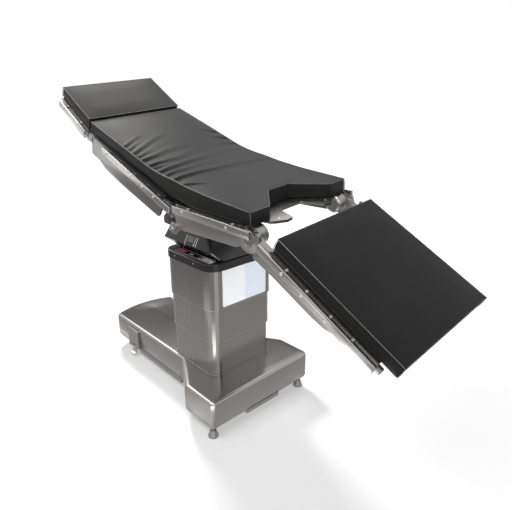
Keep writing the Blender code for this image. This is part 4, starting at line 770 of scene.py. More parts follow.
film_field("red_field", low[0] + 0.006, low[0] + 0.060, low[1] + 0.010, high[1] - 0.012,
    painted("film_red", (0.50, 0.09, 0.09), 0.35), FILM_PROUD)
film_field("grey_field", low[0] + 0.092, low[0] + 0.116, low[1] + 0.014, high[1] - 0.016,
    painted("film_grey", (0.55, 0.56, 0.58), 0.35), FILM_PROUD)
pale_print = bead_tree("pale_print", key_pale)
rim = rounded_box(
    key_low[0] - 0.006, key_low[1] - 0.006, key_high[0] + 0.006, key_high[1] + 0.006, 0.005, 5)
whole = rounded_box(low[0] + 0.002, low[1] + 0.002, high[0] - 0.002, high[1] - 0.002, 0.010, 5)
lay_beads("film_rims", [(raised(line, high[2] + 0.0001), True) for line in (rim, whole)],
    pale_print, 0.0006, body_of["keypad_panel"])
CAP_SIDE_Y = -0.1929
CAP_SCREW_Z = 0.7165
fit_fasteners("cap_screws", screw_heads, [
    (COLUMN_AXIS + Vector((x, CAP_SIDE_Y, CAP_SCREW_Z)), NEARWARDS) for x in (-0.08, 0.06)],
    0.0032, 0.0012, body_of["column_cap"])


# Tilting head: grey castings hidden under a moulded black cover that rests on the cap. The
# cover has ribs along its near side, drawn as pale steel beads that are painted highlights, and a
# grey plate is set between them.
casting = brushed_steel("head_casting", (0.30, 0.29, 0.28), (0.40, 0.39, 0.38), 0.4, 0.55, (8.0, 8.0, 8.0))
for node in ("column_head", "tilt_cradle", "tilt_carriage"):
    dress(node, casting)
cover_plastic = painted("cover_plastic", (0.012, 0.012, 0.013), 0.24)
COVER_CORNER = 0.022
COVER_WALL = 0.0022
COVER_SECTIONS = (
    (-0.140, 0.168, 0.126, 0.7356), (-0.200, 0.158, 0.176, 0.782), (-0.172, 0.130, 0.158, 0.838),
)
outer_rows = []
inner_rows = []
for head_x, foot_x, half_y, z in COVER_SECTIONS:
    for inset, rows in ((0.0, outer_rows), (COVER_WALL, inner_rows)):
        flat = rounded_box(
            head_x + inset, inset - half_y, foot_x - inset, half_y - inset, COVER_CORNER - inset, 8)
        rows.append([COLUMN_AXIS + Vector((p.x, p.y, z)) for p in flat])
shape = bmesh.new()
around = outer_rows + list(reversed(inner_rows))
skin = loft(shape, around, False, False)
join_rings(shape, skin[-1], skin[0])
finish_piece("saddle_cover", shape, cover_plastic, body_of["saddle_boot"], "saddle_boot",
    math.radians(30))


def cover_point(x, share, proud, part=0):
    """A point on the cover's near side: part 0 runs from foot to fold, part 1 from fold to top."""
    half_low, low_z = COVER_SECTIONS[part][2:]
    half_high, high_z = COVER_SECTIONS[part + 1][2:]
    y = -(half_low + (half_high - half_low) * share)
    z = low_z + (high_z - low_z) * share
    out = Vector((0.0, -(high_z - low_z), -(half_high - half_low))).normalized()
    return COLUMN_AXIS + Vector((x, y, z)) + out * proud


# Pale steel beads along the cover's ribs are painted highlights on the black plastic.
rib_highlight_steel = brushed_steel(
    "rib_highlight_steel", (0.62, 0.61, 0.60), (0.80, 0.79, 0.78), 0.3, 0.4, (20.0, 20.0, 20.0))
rib_highlight_bead = bead_tree("rib_highlight_bead", rib_highlight_steel)
RIB_PROUD = 0.0005
ribs = []
for low_x, high_x in ((-0.023, -0.012), (0.040, 0.050), (0.055, 0.063)):
    ribs.append(([cover_point(low_x + (high_x - low_x) * t, 0.06 + 0.70 * t, RIB_PROUD, 1)
        for t in (0.0, 0.5, 1.0)], False))
ribs.append(([cover_point(-0.100 + 0.077 * t, 0.10 + 0.84 * t, RIB_PROUD) for t in (0.0, 0.5, 1.0)], False))
# A pale bead down the cover's rounded near-foot corner is a painted highlight.
corner_in = COVER_CORNER * (1.0 - math.sqrt(0.5))
corner_foot, corner_fold = (
    COLUMN_AXIS + Vector((foot_x - corner_in, corner_in - half_y, z))
    for head_x, foot_x, half_y, z in COVER_SECTIONS[:2])
ribs.append(([corner_foot.lerp(corner_fold, t) for t in (0.12, 0.5, 0.94)], False))
lay_beads("cover_rib_highlights", ribs, rib_highlight_bead, 0.0015, body_of["saddle_boot"])
shape = bmesh.new()
rows = []
for proud in (-0.0005, 0.0012):
    rows.append([cover_point(x, t, proud, 1) for x, t in (
        (-0.008, 0.30), (0.032, 0.30), (0.038, 0.76), (-0.002, 0.76))])
loft(shape, rows)
finish_piece("cover_plate", shape, painted("cover_grey", (0.22, 0.22, 0.225), 0.35),
    body_of["saddle_boot"])


# Seat frame: cast aluminium beams, satin ground outside. Each has a round end about the leg
# hinge with a turned cap in it, and a lug with a clamping knob at the back hinge. A steel
# plate that carries the pad lies on both.
REST_PITCH = math.radians(1.75)
REST_TILT = math.radians(5.83)
REST_BACK = math.radians(20.0)
REST_HEAD = math.radians(10.5)
REST_LEG = math.radians(29.0)
hinge_place = {joint["name"]: Vector(joint["pos_m"]) for joint in frame["joints"] if joint.get("pos_m")}
seat_turn = Matrix.Rotation(REST_PITCH, 4, "Y") @ Matrix.Rotation(REST_TILT, 4, "X")
back_turn = seat_turn @ Matrix.Rotation(REST_BACK, 4, "Y")
head_turn = back_turn @ Matrix.Rotation(REST_HEAD, 4, "Y")
leg_turn = seat_turn @ Matrix.Rotation(REST_LEG, 4, "Y")
seat_frame = Matrix.Translation(hinge_place["lateral_tilt"]) @ seat_turn
back_frame = Matrix.Translation(hinge_place["back_hinge"]) @ back_turn
head_frame = Matrix.Translation(hinge_place["head_hinge"]) @ head_turn
leg_frame = Matrix.Translation(hinge_place["leg_hinge"]) @ leg_turn

CAST_EDGE = 0.0011
SIDES = ((-1.0, "near"), (1.0, "far"))
EAR_INNER_Y = 0.2377
EAR_OUTER_Y = 0.2497
SIDE_INNER_Y = 0.2500
SIDE_OUTER_Y = 0.2620
EAR_SPAN = (EAR_INNER_Y, EAR_OUTER_Y)
SIDE_SPAN = (SIDE_INNER_Y, SIDE_OUTER_Y)
DRUM_COVER_SPAN = (0.199, 0.2364)
PLATE_DEPTH = 0.0103
PIN_PROUD = 0.0030
LEG_HINGE = Vector((0.488, 0.105))


def edge_in(outline, inset):
    """An anticlockwise outline moved inwards by a small amount."""
    moved = []
    for i, here in enumerate(outline):
        before = (here - outline[i - 1]).normalized()
        after = (outline[(i + 1) % len(outline)] - here).normalized()
        first = Vector((-before.y, before.x))
        miter = first + Vector((-after.y, after.x))
        moved.append(here + miter * (inset / max(miter.dot(first), 0.4)))
    return moved


def signed_area(outline):
    return sum(a.x * b.y - b.x * a.y for a, b in zip(outline, outline[1:] + outline[:1]))


def cast_plate(shape, place, outline, side, span, recess=None, depth=0.0):
    """A plate on edge in a section's frame, its outer edges softened, with a milled recess.

    span is its inner and its outer distance from the middle of the table."""
    if signed_area(outline) < 0.0:
        outline = list(reversed(outline))
    y_back, y_front = side * span[0], side * span[1]
    rows = []
    for y, inset in (
            (y_back, 0.0), (y_front - side * CAST_EDGE, 0.0),
            (y_front - side * CAST_EDGE * 0.3, CAST_EDGE * 0.3), (y_front, CAST_EDGE)):
        rows.append([place @ Vector((p.x, y, p.y)) for p in edge_in(outline, inset)])
    loft(shape, rows, True, recess is None)
    if recess is None:
        return
    face = edge_in(outline, CAST_EDGE)
    borders = [(i, (i + 1) % len(face)) for i in range(len(face))]
    borders += [(len(face) + i, len(face) + (i + 1) % len(recess)) for i in range(len(recess))]
    spots, _, parts, _, _, _ = delaunay_2d_cdt(face + recess, borders, [], 1, 1e-6)
    corners = [shape.verts.new(place @ Vector((p.x, y_front, p.y))) for p in spots]
    for part in parts:
        centre = sum((spots[i] for i in part), Vector((0.0, 0.0))) / len(part)
        if not is_inside(centre, recess):
            shape.faces.new([corners[i] for i in part])
    walls = recess if signed_area(recess) > 0.0 else list(reversed(recess))
    loft(shape, [
        [place @ Vector((p.x, y_front, p.y)) for p in walls],
        [place @ Vector((p.x, y_front - side * depth, p.y)) for p in edge_in(walls, depth * 0.4)],
    ], False, True)
    bmesh.ops.remove_doubles(shape, verts=shape.verts[:], dist=0.00001)


def box_outline(x_low, x_high, z_low, z_high):
    corners = ((x_low, z_low), (x_high, z_low), (x_high, z_high), (x_low, z_high))
    return [Vector(corner) for corner in corners]


def arc(centre, radius, first, last, steps):
    """Points of an arc, its angles in degrees."""
    turns = [math.radians(first + (last - first) * k / steps) for k in range(steps + 1)]
    return [(centre[0] + radius * math.cos(turn), centre[1] + radius * math.sin(turn)) for turn in turns]


def outwards(turn, side):
    """Direction away from the middle of the table in a section that is turned."""
    return (turn.to_3x3() @ Vector((0.0, side, 0.0))).normalized()


def turned(shape, place, x, z, side, profile):
    """A turned piece across the table; its profile is (radius, distance from the middle)."""
    rows = []
    for radius, y in profile:
        rows.append([place @ Vector((p.x, side * y, p.y)) for p in disc_outline(x, z, radius, 40)])
    loft(shape, rows)


def hinge_ear(shape, place, side, radius, direction, reach, half_depth, surface_z):
    """Inner ear about a hinge, stepped outwards into the side plate."""
    cast_plate(shape, place, disc_outline(0.0, 0.0, radius), side, EAR_SPAN)
    ends = sorted((0.0, direction * reach))
    cast_plate(shape, place, box_outline(*ends, -half_depth, surface_z), side, EAR_SPAN)
    step = sorted((direction * 0.060, direction * (reach - 0.001)))
    cast_plate(shape, place, box_outline(*step, 0.001 - half_depth, surface_z - 0.001), side, (
        EAR_INNER_Y + 0.001, SIDE_OUTER_Y - 0.002))


frame_casting = brushed_steel(
    "frame_casting", (0.28, 0.27, 0.26), (0.39, 0.38, 0.37), 0.26, 0.38, (6.0, 30.0, 30.0))
plate_steel = brushed_steel(
    "plate_steel", (0.36, 0.35, 0.34), (0.46, 0.45, 0.43), 0.24, 0.32, (2.0, 6.0, 6.0), None, 0.0001)
drum_enamel = painted("drum_enamel", (0.03, 0.03, 0.03), 0.4)
SEAT_TOP_Z = 0.1435
KNUCKLE_RADIUS = 0.056
KNOB_PLACE = (0.034, 0.032)
beam_top = SEAT_TOP_Z - PLATE_DEPTH
round_end = arc(LEG_HINGE, KNUCKLE_RADIUS, 218.0, 390.2, 26)
beam_outline = rounded(
    [(0.055, beam_top), (0.055, 0.034), (0.410, 0.0535), (0.427, 0.0560)] + round_end,
    [0.004, 0.0, 0.010, 0.004] + [0.0] * len(round_end), 4)
knob_screws = []
for side, label in SIDES:
    shape = bmesh.new()
    cast_plate(shape, seat_frame, beam_outline, side, SIDE_SPAN)
    cast_plate(shape, seat_frame, disc_outline(*KNOB_PLACE, 0.027), side, SIDE_SPAN)
    turned(shape, seat_frame, *KNOB_PLACE, side, [
        (0.0150, 0.260), (0.0150, 0.2640), (0.0160, 0.2650), (0.0160, 0.2755), (0.0150, 0.2770)])
    turned(shape, seat_frame, *LEG_HINGE, side, [
        (0.0340, 0.2610), (0.0340, 0.2632), (0.0330, 0.2642), (0.0290, 0.2642), (0.0275, 0.2628),
        (0.0140, 0.2628), (0.0130, 0.2648), (0.0030, 0.2652)])
    finish_piece("seat_side_" + label, shape, frame_casting, "seat", "seat_beam_" + label)
    out = outwards(seat_turn, side)
    knob_screws.append((seat_frame @ Vector((KNOB_PLACE[0], side * 0.2770, KNOB_PLACE[1])), out))
    knob_screws.append((seat_frame @ Vector((LEG_HINGE.x, side * 0.2650, LEG_HINGE.y)), out))
    dress("leg_drum_" + label, frame_casting)
    dress("back_drum_" + label, drum_enamel)
dress("seat_plate", plate_steel)
fit_fasteners("beam_screws", screw_heads, knob_screws, 0.0060, 0.0012, "seat")
EAR_SCREW_PLACES = ((0.506, -0.127), (0.506, 0.127))
upwards = (seat_turn.to_3x3() @ Vector((0.0, 0.0, 1.0))).normalized()
fit_fasteners("ear_screws", screw_heads, [
    (seat_frame @ Vector((x, y, SEAT_TOP_Z)), upwards) for x, y in EAR_SCREW_PLACES],
    0.0058, 0.0014, "seat")
cover_outline = rounded(
    [(-0.080, 0.022), (-0.004, 0.022), (-0.004, 0.082), (-0.044, 0.082), (-0.080, 0.052)],
    [0.006, 0.006, 0.004, 0.006, 0.006], 4)
for side, label in SIDES:
    shape = bmesh.new()
    cast_plate(shape, seat_frame, cover_outline, side, DRUM_COVER_SPAN)
    finish_piece("back_drum_cover_" + label, shape, drum_enamel, "seat")


# Hinge guard: a black sheet bent about the back hinge, between the two pad plates. It is
# fixed to the seat, and the back plate passes over it.
GUARD_RADIUS = 0.0610
GUARD_WALL = 0.0012
GUARD_HALF = 0.2440
HINGE_PLACE = (0.008, 0.095)
shape = bmesh.new()
outer = arc(HINGE_PLACE, GUARD_RADIUS, 40.0, 168.0, 32)
inner = arc(HINGE_PLACE, GUARD_RADIUS - GUARD_WALL, 168.0, 40.0, 32)
section = [Vector(p) for p in outer + inner]
loft(shape, [[seat_frame @ Vector((p.x, y, p.y)) for p in section] for y in (-GUARD_HALF, 0.0, GUARD_HALF)])
finish_piece("hinge_guard", shape, drum_enamel, "seat")


# Side rails: flat bars of ground steel with softened edges, 9.5 by 32 mm, held off the frame
# by round spacers and fixed by socket screws through their middle.
RAIL_FACE_Y = 0.2850
RAIL_THICK = 0.0095
RAIL_HIGH = 0.0320
RAIL_EDGE = 0.0012
SPACER_RADIUS = 0.0080
rail_steel = brushed_steel(
    "rail_steel", (0.44, 0.43, 0.415), (0.60, 0.59, 0.575), 0.18, 0.28, (1.0, 70.0, 70.0))


def side_rails(section, place, x_low, x_high, top_z, screws, body):
    """Both rails of a section, with their spacers and screws."""
    middle = top_z - RAIL_HIGH / 2.0
    flat = rounded_box(x_low, top_z - RAIL_HIGH, x_high, top_z, 0.004, 5)
    inner = RAIL_FACE_Y - RAIL_THICK
    heads = []
    for side, label in SIDES:
        shape = bmesh.new()
        rows = []
        for y, inset in (
                (inner, RAIL_EDGE), (inner + RAIL_EDGE * 0.3, RAIL_EDGE * 0.3),
                (inner + RAIL_EDGE, 0.0), (RAIL_FACE_Y - RAIL_EDGE, 0.0),
                (RAIL_FACE_Y - RAIL_EDGE * 0.3, RAIL_EDGE * 0.3), (RAIL_FACE_Y, RAIL_EDGE)):
            rows.append([place @ Vector((p.x, side * y, p.y)) for p in edge_in(flat, inset)])
        loft(shape, rows)
        for x in screws:
            turned(shape, place, x, middle, side, [
                (SPACER_RADIUS, SIDE_OUTER_Y + 0.0003), (SPACER_RADIUS, inner + 0.0006)])
        finish_piece("%s_bar_%s" % (section, label), shape, rail_steel, body,
            "%s_rail_%s" % (section, label))
        heads += [
            (place @ Vector((x, side * RAIL_FACE_Y, middle)), outwards(place, side)) for x in screws]
    fit_fasteners(section + "_bar_screws", screw_heads, heads, 0.0062, 0.0018, body)


side_rails("seat", seat_frame, 0.0758, 0.5200, 0.1447, (0.139, 0.402), "seat")


# Back section: deep cast side plates that carry the head hinge, a black laminate plate on
# them, and rails on five screws a side.
BACK_TOP_Z = 0.0485
HEAD_HINGE = (-0.6586, 0.0235)
back_top = BACK_TOP_Z - PLATE_DEPTH
back_outline = rounded([
    (-0.045, back_top), (-0.055, -0.025), (-0.068, -0.065), (-0.3715, -0.0757), (-0.522, -0.0735),
    (-0.581, -0.056), (-0.653, -0.056), (-0.653, 0.0113), (-0.640, back_top),
], [0.004, 0.020, 0.006, 0.0, 0.010, 0.010, 0.006, 0.0, 0.0], 4)
for side, label in SIDES:
    shape = bmesh.new()
    cast_plate(shape, back_frame, back_outline, side, SIDE_SPAN)
    cast_plate(shape, back_frame, disc_outline(*HEAD_HINGE, 0.0245), side, SIDE_SPAN)
    hinge_ear(shape, back_frame, side, 0.028, -1.0, 0.110, 0.026, back_top - 0.001)
    finish_piece("back_cheek_" + label, shape, frame_casting, "back", "back_side_" + label)
dress("back_plate", painted("top_laminate", (0.03, 0.03, 0.03), 0.4))
side_rails("back", back_frame, -0.515, 0.030, 0.0497, (-0.480, -0.383, -0.264, -0.168, -0.080), "back")


# Head section: a light cast frame, its arms stepped down to lobes about the hinge pins, with
# short rails.
HEAD_TOP_Z = 0.025
blade_outline = rounded([
    (-0.038, -0.016), (-0.064, -0.047), (-0.135, -0.047), (-0.220, -0.039), (-0.289, -0.037),
    (-0.306, -0.011), (-0.306, HEAD_TOP_Z - 0.002), (-0.038, HEAD_TOP_Z - 0.002),
], [0.004, 0.006, 0.020, 0.020, 0.008, 0.004, 0.0, 0.0], 4)
lobe_outline = rounded([
    (0.0, -0.020), (-0.004, -0.037), (-0.052, -0.054), (-0.070, -0.047), (-0.070, 0.0), (0.0, 0.0),
], [0.0, 0.008, 0.008, 0.0, 0.0, 0.0], 4)
shape = bmesh.new()
cast_plate(shape, head_frame, box_outline(-0.315, -0.034, HEAD_TOP_Z - 0.010, HEAD_TOP_Z), 1.0, (
    -SIDE_OUTER_Y, SIDE_OUTER_Y))
for side, label in SIDES:
    cast_plate(shape, head_frame, blade_outline, side, (EAR_INNER_Y + 0.002, SIDE_OUTER_Y - 0.0005))
    cast_plate(shape, head_frame, disc_outline(0.0, 0.0, 0.0225), side, EAR_SPAN)
    cast_plate(shape, head_frame, box_outline(-0.054, 0.0, -0.014, 0.013), side, EAR_SPAN)
    cast_plate(shape, head_frame, lobe_outline, side, (EAR_INNER_Y + 0.001, EAR_OUTER_Y - 0.001))
    turned(shape, head_frame, 0.0, 0.0, side, [
        (0.012, EAR_OUTER_Y - 0.002), (0.012, SIDE_OUTER_Y + PIN_PROUD - 0.001),
        (0.011, SIDE_OUTER_Y + PIN_PROUD)])
finish_piece("head_casting_frame", shape, frame_casting, "head", "head_frame")
side_rails("head", head_frame, -0.2934, -0.0300, 0.0262, (-0.250, -0.110), "head")


# Leg section: two long cast arms that start on a hollow round the knuckles, each with a
# milled recess, a steel plate on them, and long rails. A small screw sits near each knuckle.
LEG_TOP_Z = 0.0385
leg_top = LEG_TOP_Z - PLATE_DEPTH
hollow = arc((0.0, 0.0), KNUCKLE_RADIUS + 0.0015, 29.4, -41.0, 10)
arm_outline = rounded([
    (0.050, -0.050), (0.1315, -0.043), (0.340, -0.037), (0.394, -0.029), (0.416, -0.018),
    (0.590, 0.004), (0.590, leg_top),
] + hollow, [0.003, 0.020, 0.030, 0.004, 0.006, 0.005, 0.004] + [0.0] * len(hollow), 4)
recess_outline = rounded([
    (0.067, -0.025), (0.330, -0.014), (0.330, 0.006), (0.067, 0.014)], [0.006] * 4, 4)
arm_screws = []
for side, label in SIDES:
    shape = bmesh.new()
    cast_plate(shape, leg_frame, arm_outline, side, SIDE_SPAN, recess_outline, 0.004)
    hinge_ear(shape, leg_frame, side, 0.028, 1.0, 0.110, 0.024, leg_top - 0.001)
    finish_piece("leg_cheek_" + label, shape, frame_casting, "leg", "leg_arm_" + label)
    arm_screws.append((leg_frame @ Vector((0.071, side * SIDE_OUTER_Y, 0.0185)), outwards(leg_turn, side)))
dress("leg_plate", plate_steel)
fit_fasteners("arm_screws", screw_heads, arm_screws, 0.0042, 0.0014, "leg")
side_rails("leg", leg_frame, 0.060, 0.575, 0.0397, (0.183, 0.277, 0.383, 0.474), "leg")


# Pads: foam under black vinyl, the top panel joined to the side band with a thin welt.
# The long pad is one piece that bends over the back hinge, where its cover creases.
PAD_HALF_WIDTH = 0.254
PAD_THICKNESS = 0.0525
PAD_CELL = 0.0085
PAD_MIDDLE = 0.22
FREE_BAND = (0.2, 0.9)
WELT_ROWS = [
    (-0.0040, 0.0000), (-0.0024, -0.0012), (-0.0010, 0.0004), (0.0000, -0.0006), (-0.0008, -0.0026),
    (-0.0004, -0.0065),
]
WELT_LOOP = 3
CORNER_LENGTH = 1.2
WELT_RADIUS = 0.0014
SIDE_ROWS = [(0.0004, 0.30), (0.0008, 0.55), (0.0004, 0.80), (-0.0008, 0.96), (-0.0040, 1.0)]


def smooth_through(points, count):
    """Evenly numbered points on a smooth curve through the given ones."""
    ends = [points[0] * 2 - points[1]] + points + [points[-1] * 2 - points[-2]]
    result = []
    for i in range(count + 1):
        t = (len(points) - 1) * i / count
        k = min(int(t), len(points) - 2)
        t -= k
        a, b, c, d = ends[k:k + 4]
        result.append((
            b * 2 + (c - a) * t + (a * 2 - b * 5 + c * 4 - d) * t ** 2 + (b * 3 - a - c * 3 + d) * t ** 3
        ) * 0.5)
    return result


def build_pad(name, place, tops, bottoms, notch=None):
    """A closed pad: grid top and bottom, a welt round the top edge and a side band.

    tops and bottoms are (x, z) rows from the head end to the foot end; notch is
    (first row, half width at its back, half width at its mouth)."""
    rows = len(tops) - 1
    side_cells = round(PAD_HALF_WIDTH * (1.0 - PAD_MIDDLE) / PAD_CELL)
    middle_cells = round(PAD_HALF_WIDTH * 2.0 * PAD_MIDDLE / PAD_CELL)
    columns = side_cells * 2 + middle_cells
    inset = -WELT_ROWS[0][0]
    reach = PAD_HALF_WIDTH - inset
    start = notch[0] if notch else rows + 1

    def half_gap(row):
        if not notch:
            return PAD_HALF_WIDTH * PAD_MIDDLE
        share = max(0.0, (row - start) / (rows - start))
        return notch[1] + inset + (notch[2] - notch[1]) * share

    def across_at(row, column):
        gap = half_gap(row)
        if column <= side_cells:
            return -reach + (reach - gap) * column / side_cells
        if column <= side_cells + middle_cells:
            return -gap + 2.0 * gap * (column - side_cells) / middle_cells
        return gap + (reach - gap) * (column - side_cells - middle_cells) / side_cells

    lengths = [0.0]
    for a, b in zip(tops, tops[1:]):
        lengths.append(lengths[-1] + (b - a).length)

    def point(row, along, y, depth, drop):
        """depth runs from 0 on the top to 1 underneath; drop is a plain offset upwards."""
        ahead = tops[min(row + 1, rows)] - tops[max(row - 1, 0)]
        ahead.normalize()
        up = Vector((-ahead.y, ahead.x))
        if up.y < 0:
            up = -up
        flat = tops[row].lerp(bottoms[row], depth) + ahead * along + up * drop
        return place @ Vector((flat.x, y, flat.y))

    shape = bmesh.new()
    crown = shape.verts.layers.float.new("crown")
    along_layer = shape.verts.layers.float.new("along")
    across_layer = shape.verts.layers.float.new("across")
    deform = shape.verts.layers.deform.verify()

    def add_vertex(row, column, along, y_out, depth, drop, on_top, pinned):
        y = across_at(row, column) + y_out
        made = shape.verts.new(point(row, along, y, depth, drop))
        made[crown] = on_top
        made[along_layer] = lengths[row] + along
        made[across_layer] = y
        made[deform][0] = pinned
        return made

    def row_shift(row, column):
        if row == 0:
            return inset
        in_notch = row == start and side_cells <= column <= side_cells + middle_cells
        return -inset if row == rows or in_notch else 0.0

    def has_cell(row, column):
        return not (notch and row >= start and side_cells <= column < side_cells + middle_cells)

    top_of = {}
    bottom_of = {}
    rim = [(0, j) for j in range(columns)]
    rim += [(i, columns) for i in range(rows)]
    if notch:
        rim += [(rows, j) for j in range(columns, side_cells + middle_cells, -1)]
        rim += [(i, side_cells + middle_cells) for i in range(rows, start, -1)]
        rim += [(start, j) for j in range(side_cells + middle_cells, side_cells, -1)]
        rim += [(i, side_cells) for i in range(start, rows)]
        rim += [(rows, j) for j in range(side_cells, 0, -1)]
    else:
        rim += [(rows, j) for j in range(columns, 0, -1)]
    rim += [(i, 0) for i in range(rows, 0, -1)]
    on_rim = set(rim)
    for i in range(rows + 1):
        for j in range(columns + 1):
            beside = [(a, b) for a in (i - 1, i) for b in (j - 1, j)]
            if not any(0 <= a < rows and 0 <= b < columns and has_cell(a, b) for a, b in beside):
                continue
            edge = 1.0 if (i, j) in on_rim else 0.0
            shift = row_shift(i, j)
            top_of[i, j] = add_vertex(i, j, shift, 0.0, 0.0, 0.0, 1.0 - edge, edge)
            bottom_of[i, j] = add_vertex(i, j, shift, 0.0, 1.0, 0.0, 0.0, 1.0)
    for i in range(rows):
        for j in range(columns):
            if has_cell(i, j):
                shape.faces.new([top_of[c] for c in ((i, j), (i + 1, j), (i + 1, j + 1), (i, j + 1))])
                shape.faces.new([bottom_of[c] for c in ((i, j), (i, j + 1), (i + 1, j + 1), (i + 1, j))])
    flat = [Vector((lengths[i] + row_shift(i, j), across_at(i, j))) for i, j in rim]
    outward = []
    for k in range(len(rim)):
        before = (flat[k] - flat[k - 1]).normalized()
        after = (flat[(k + 1) % len(rim)] - flat[k]).normalized()
        first = Vector((-before.y, before.x))
        miter = first + Vector((-after.y, after.x))
        outward.append(miter / max(miter.dot(first), 0.2))

    def ring(offset, depth, drop, pinned):
        return [
            add_vertex(i, j, row_shift(i, j) + (offset + inset) * out.x, (offset + inset) * out.y,
                depth, drop, 0.0, pinned)
            for (i, j), out in zip(rim, outward)]

    loops = [[top_of[c] for c in rim]]
    loops += [ring(offset, 0.0, drop, 1.0) for offset, drop in WELT_ROWS[1:]]
    welt = [v.co.copy() for v in loops[WELT_LOOP]]
    corners = [k for k in range(len(rim)) if outward[k].length > CORNER_LENGTH]
    for offset, depth in SIDE_ROWS[:-1]:
        loops.append(ring(offset, depth, 0.0, 0.0 if FREE_BAND[0] < depth < FREE_BAND[1] else 1.0))
    seams = [[loops[row][k].co.copy() for row in range(WELT_LOOP, len(loops))] for k in corners]
    loops.append([bottom_of[c] for c in rim])
    for upper, lower in zip(loops, loops[1:]):
        join_rings(shape, upper, lower)
    bmesh.ops.recalc_face_normals(shape, faces=shape.faces[:])
    mesh = bpy.data.meshes.new(name)
    shape.to_mesh(mesh)
    shape.free()
    made = add_object(name, mesh)
    made.vertex_groups.new(name="held")
    return made, [(welt, True)] + [(seam, False) for seam in seams]


COVER_PRESSURE = 4.0
COVER_STIFFNESS = 40.0
COVER_STEPS = 12
COVER_MOVE = 0.004


def swell(pad):
    """Blow the cover up a little, so that it sits tight over its foam, then fix the shape."""
    rest = [v.co.copy() for v in pad.data.vertices]
    cloth = pad.modifiers.new("cover", "CLOTH").settings
    cloth.use_pressure = True
    cloth.uniform_pressure_force = COVER_PRESSURE
    cloth.effector_weights.gravity = 0.0
    cloth.vertex_group_mass = "held"
    cloth.quality = 4
    cloth.tension_stiffness = COVER_STIFFNESS
    cloth.compression_stiffness = COVER_STIFFNESS
    for step in range(1, COVER_STEPS + 1):
        bpy.context.scene.frame_set(step)
    blown = bpy.data.meshes.new_from_object(pad.evaluated_get(bpy.context.evaluated_depsgraph_get()))
    pad.modifiers.clear()
    bpy.context.scene.frame_set(1)
    for vertex, old, new in zip(pad.data.vertices, rest, blown.vertices):
        move = new.co - old
        if move.length > COVER_MOVE:
            move = move.normalized() * COVER_MOVE
        vertex.co = old + move
    bpy.data.meshes.remove(blown)
    pad.vertex_groups.clear()
    finer = pad.modifiers.new("finer", "SUBSURF")
    finer.levels = 1
    finer.render_levels = 1
    settle(pad)
    pad.data.shade_smooth()


# A crease is (depth, places from its tight end on): a place is (across the pad, along it).
CREASES = [
    (1.0, [(-0.254, 0.490), (-0.109, 0.4815), (-0.002, 0.4575), (0.143, 0.4735)]),
    (1.0, [(-0.254, 0.565), (-0.116, 0.5395), (0.031, 0.5185), (0.186, 0.5155), (0.254, 0.5215)]),
    (1.0, [
        (-0.254, 0.670), (-0.141, 0.662), (-0.006, 0.667), (0.087, 0.677), (0.204, 0.685), (0.254, 0.690)]),
    (0.6, [(-0.254, 0.725), (-0.182, 0.776), (-0.103, 0.786)]),
    (0.9, [(-0.254, 0.3705), (-0.180, 0.3315), (-0.095, 0.2805), (0.014, 0.2325)]),
    (0.8, [(-0.254, 0.2935), (-0.186, 0.2555), (-0.110, 0.2085)]),
    (0.9, [(-0.254, 0.4385), (-0.176, 0.4235), (-0.079, 0.3955), (0.027, 0.3835)]),
    (0.7, [(-0.254, 0.520), (-0.190, 0.512), (-0.090, 0.506)]),
    (0.8, [(-0.254, 0.612), (-0.160, 0.600), (-0.040, 0.585), (0.110, 0.580), (0.254, 0.600)]),
    (0.5, [(-0.254, 0.405), (-0.200, 0.385), (-0.150, 0.360)]),
    (0.5, [(-0.254, 0.332), (-0.205, 0.302), (-0.150, 0.262)]),
    (0.8, [(0.254, 0.330), (0.232, 0.3215), (0.161, 0.2355)]),
    (0.8, [(0.254, 0.410), (0.240, 0.4005), (0.143, 0.3335)]),
    (0.6, [(0.254, 0.470), (0.170, 0.440), (0.060, 0.425)]),
]
CREASE_START_WIDTH = 0.0085
CREASE_SPREAD = 0.045
CREASE_HEIGHT = 0.0058
CREASE_FALL = 0.35
CREASE_TAPER = 0.7
DIP_DEPTH = 0.75
DIP_APART = 1.7


def along_at(points, y):
    """Place of a crease along the pad at a distance across it, or None past its end."""
    for (y_a, a), (y_b, b) in zip(points, points[1:]):
        low, high = sorted((y_a, y_b))
        if low <= y <= high:
            return a + (b - a) * (y - y_a) / (y_b - y_a)
    return None


def crease_cover(pad, up):
    """Fan of creases over the bend: tight at the edge they start from, then wide and soft."""
    mesh = pad.data
    crown = mesh.attributes["crown"].data
    along = mesh.attributes["along"].data
    across = mesh.attributes["across"].data
    for index, vertex in enumerate(mesh.vertices):
        weight = crown[index].value
        if weight <= 0.0:
            continue
        y = across[index].value
        rise = 0.0
        for strength, points in CREASES:
            line = along_at(points, y)
            if line is None:
                continue
            start, end = points[0][0], points[-1][0]
            share = (y - start) / (end - start)
            width = CREASE_START_WIDTH + CREASE_SPREAD * abs(y - start)
            fade = 1.0 if abs(end) >= PAD_HALF_WIDTH else (1.0 - share) ** CREASE_TAPER
            fade *= 1.0 - CREASE_FALL * share
            apart = (along[index].value - line) / width
            wave = math.exp(-apart * apart) - DIP_DEPTH * math.exp(-(apart - DIP_APART) ** 2)
            rise += CREASE_HEIGHT * strength * fade * wave
        vertex.co += up * (rise * weight)


# The vinyl has a very fine leather grain over an even satin sheen; its welts are painted paler, a painted
# highlight along the black welt lines.
pad_vinyl, tree, shader = new_material("pad_vinyl")
wear = noise_at(tree, EVEN, 7.0)
set_sockets(tree, shader, {
    "Base Color": colour_mix(tree, wear, (0.011, 0.011, 0.011), (0.019, 0.0185, 0.018)),
    "Roughness": spread(tree, wear, 0.34, 0.44), "Specular IOR Level": 0.11,
    "Normal": bumps(tree, noise_at(tree, EVEN, 420.0), 0.25, 0.0003)})
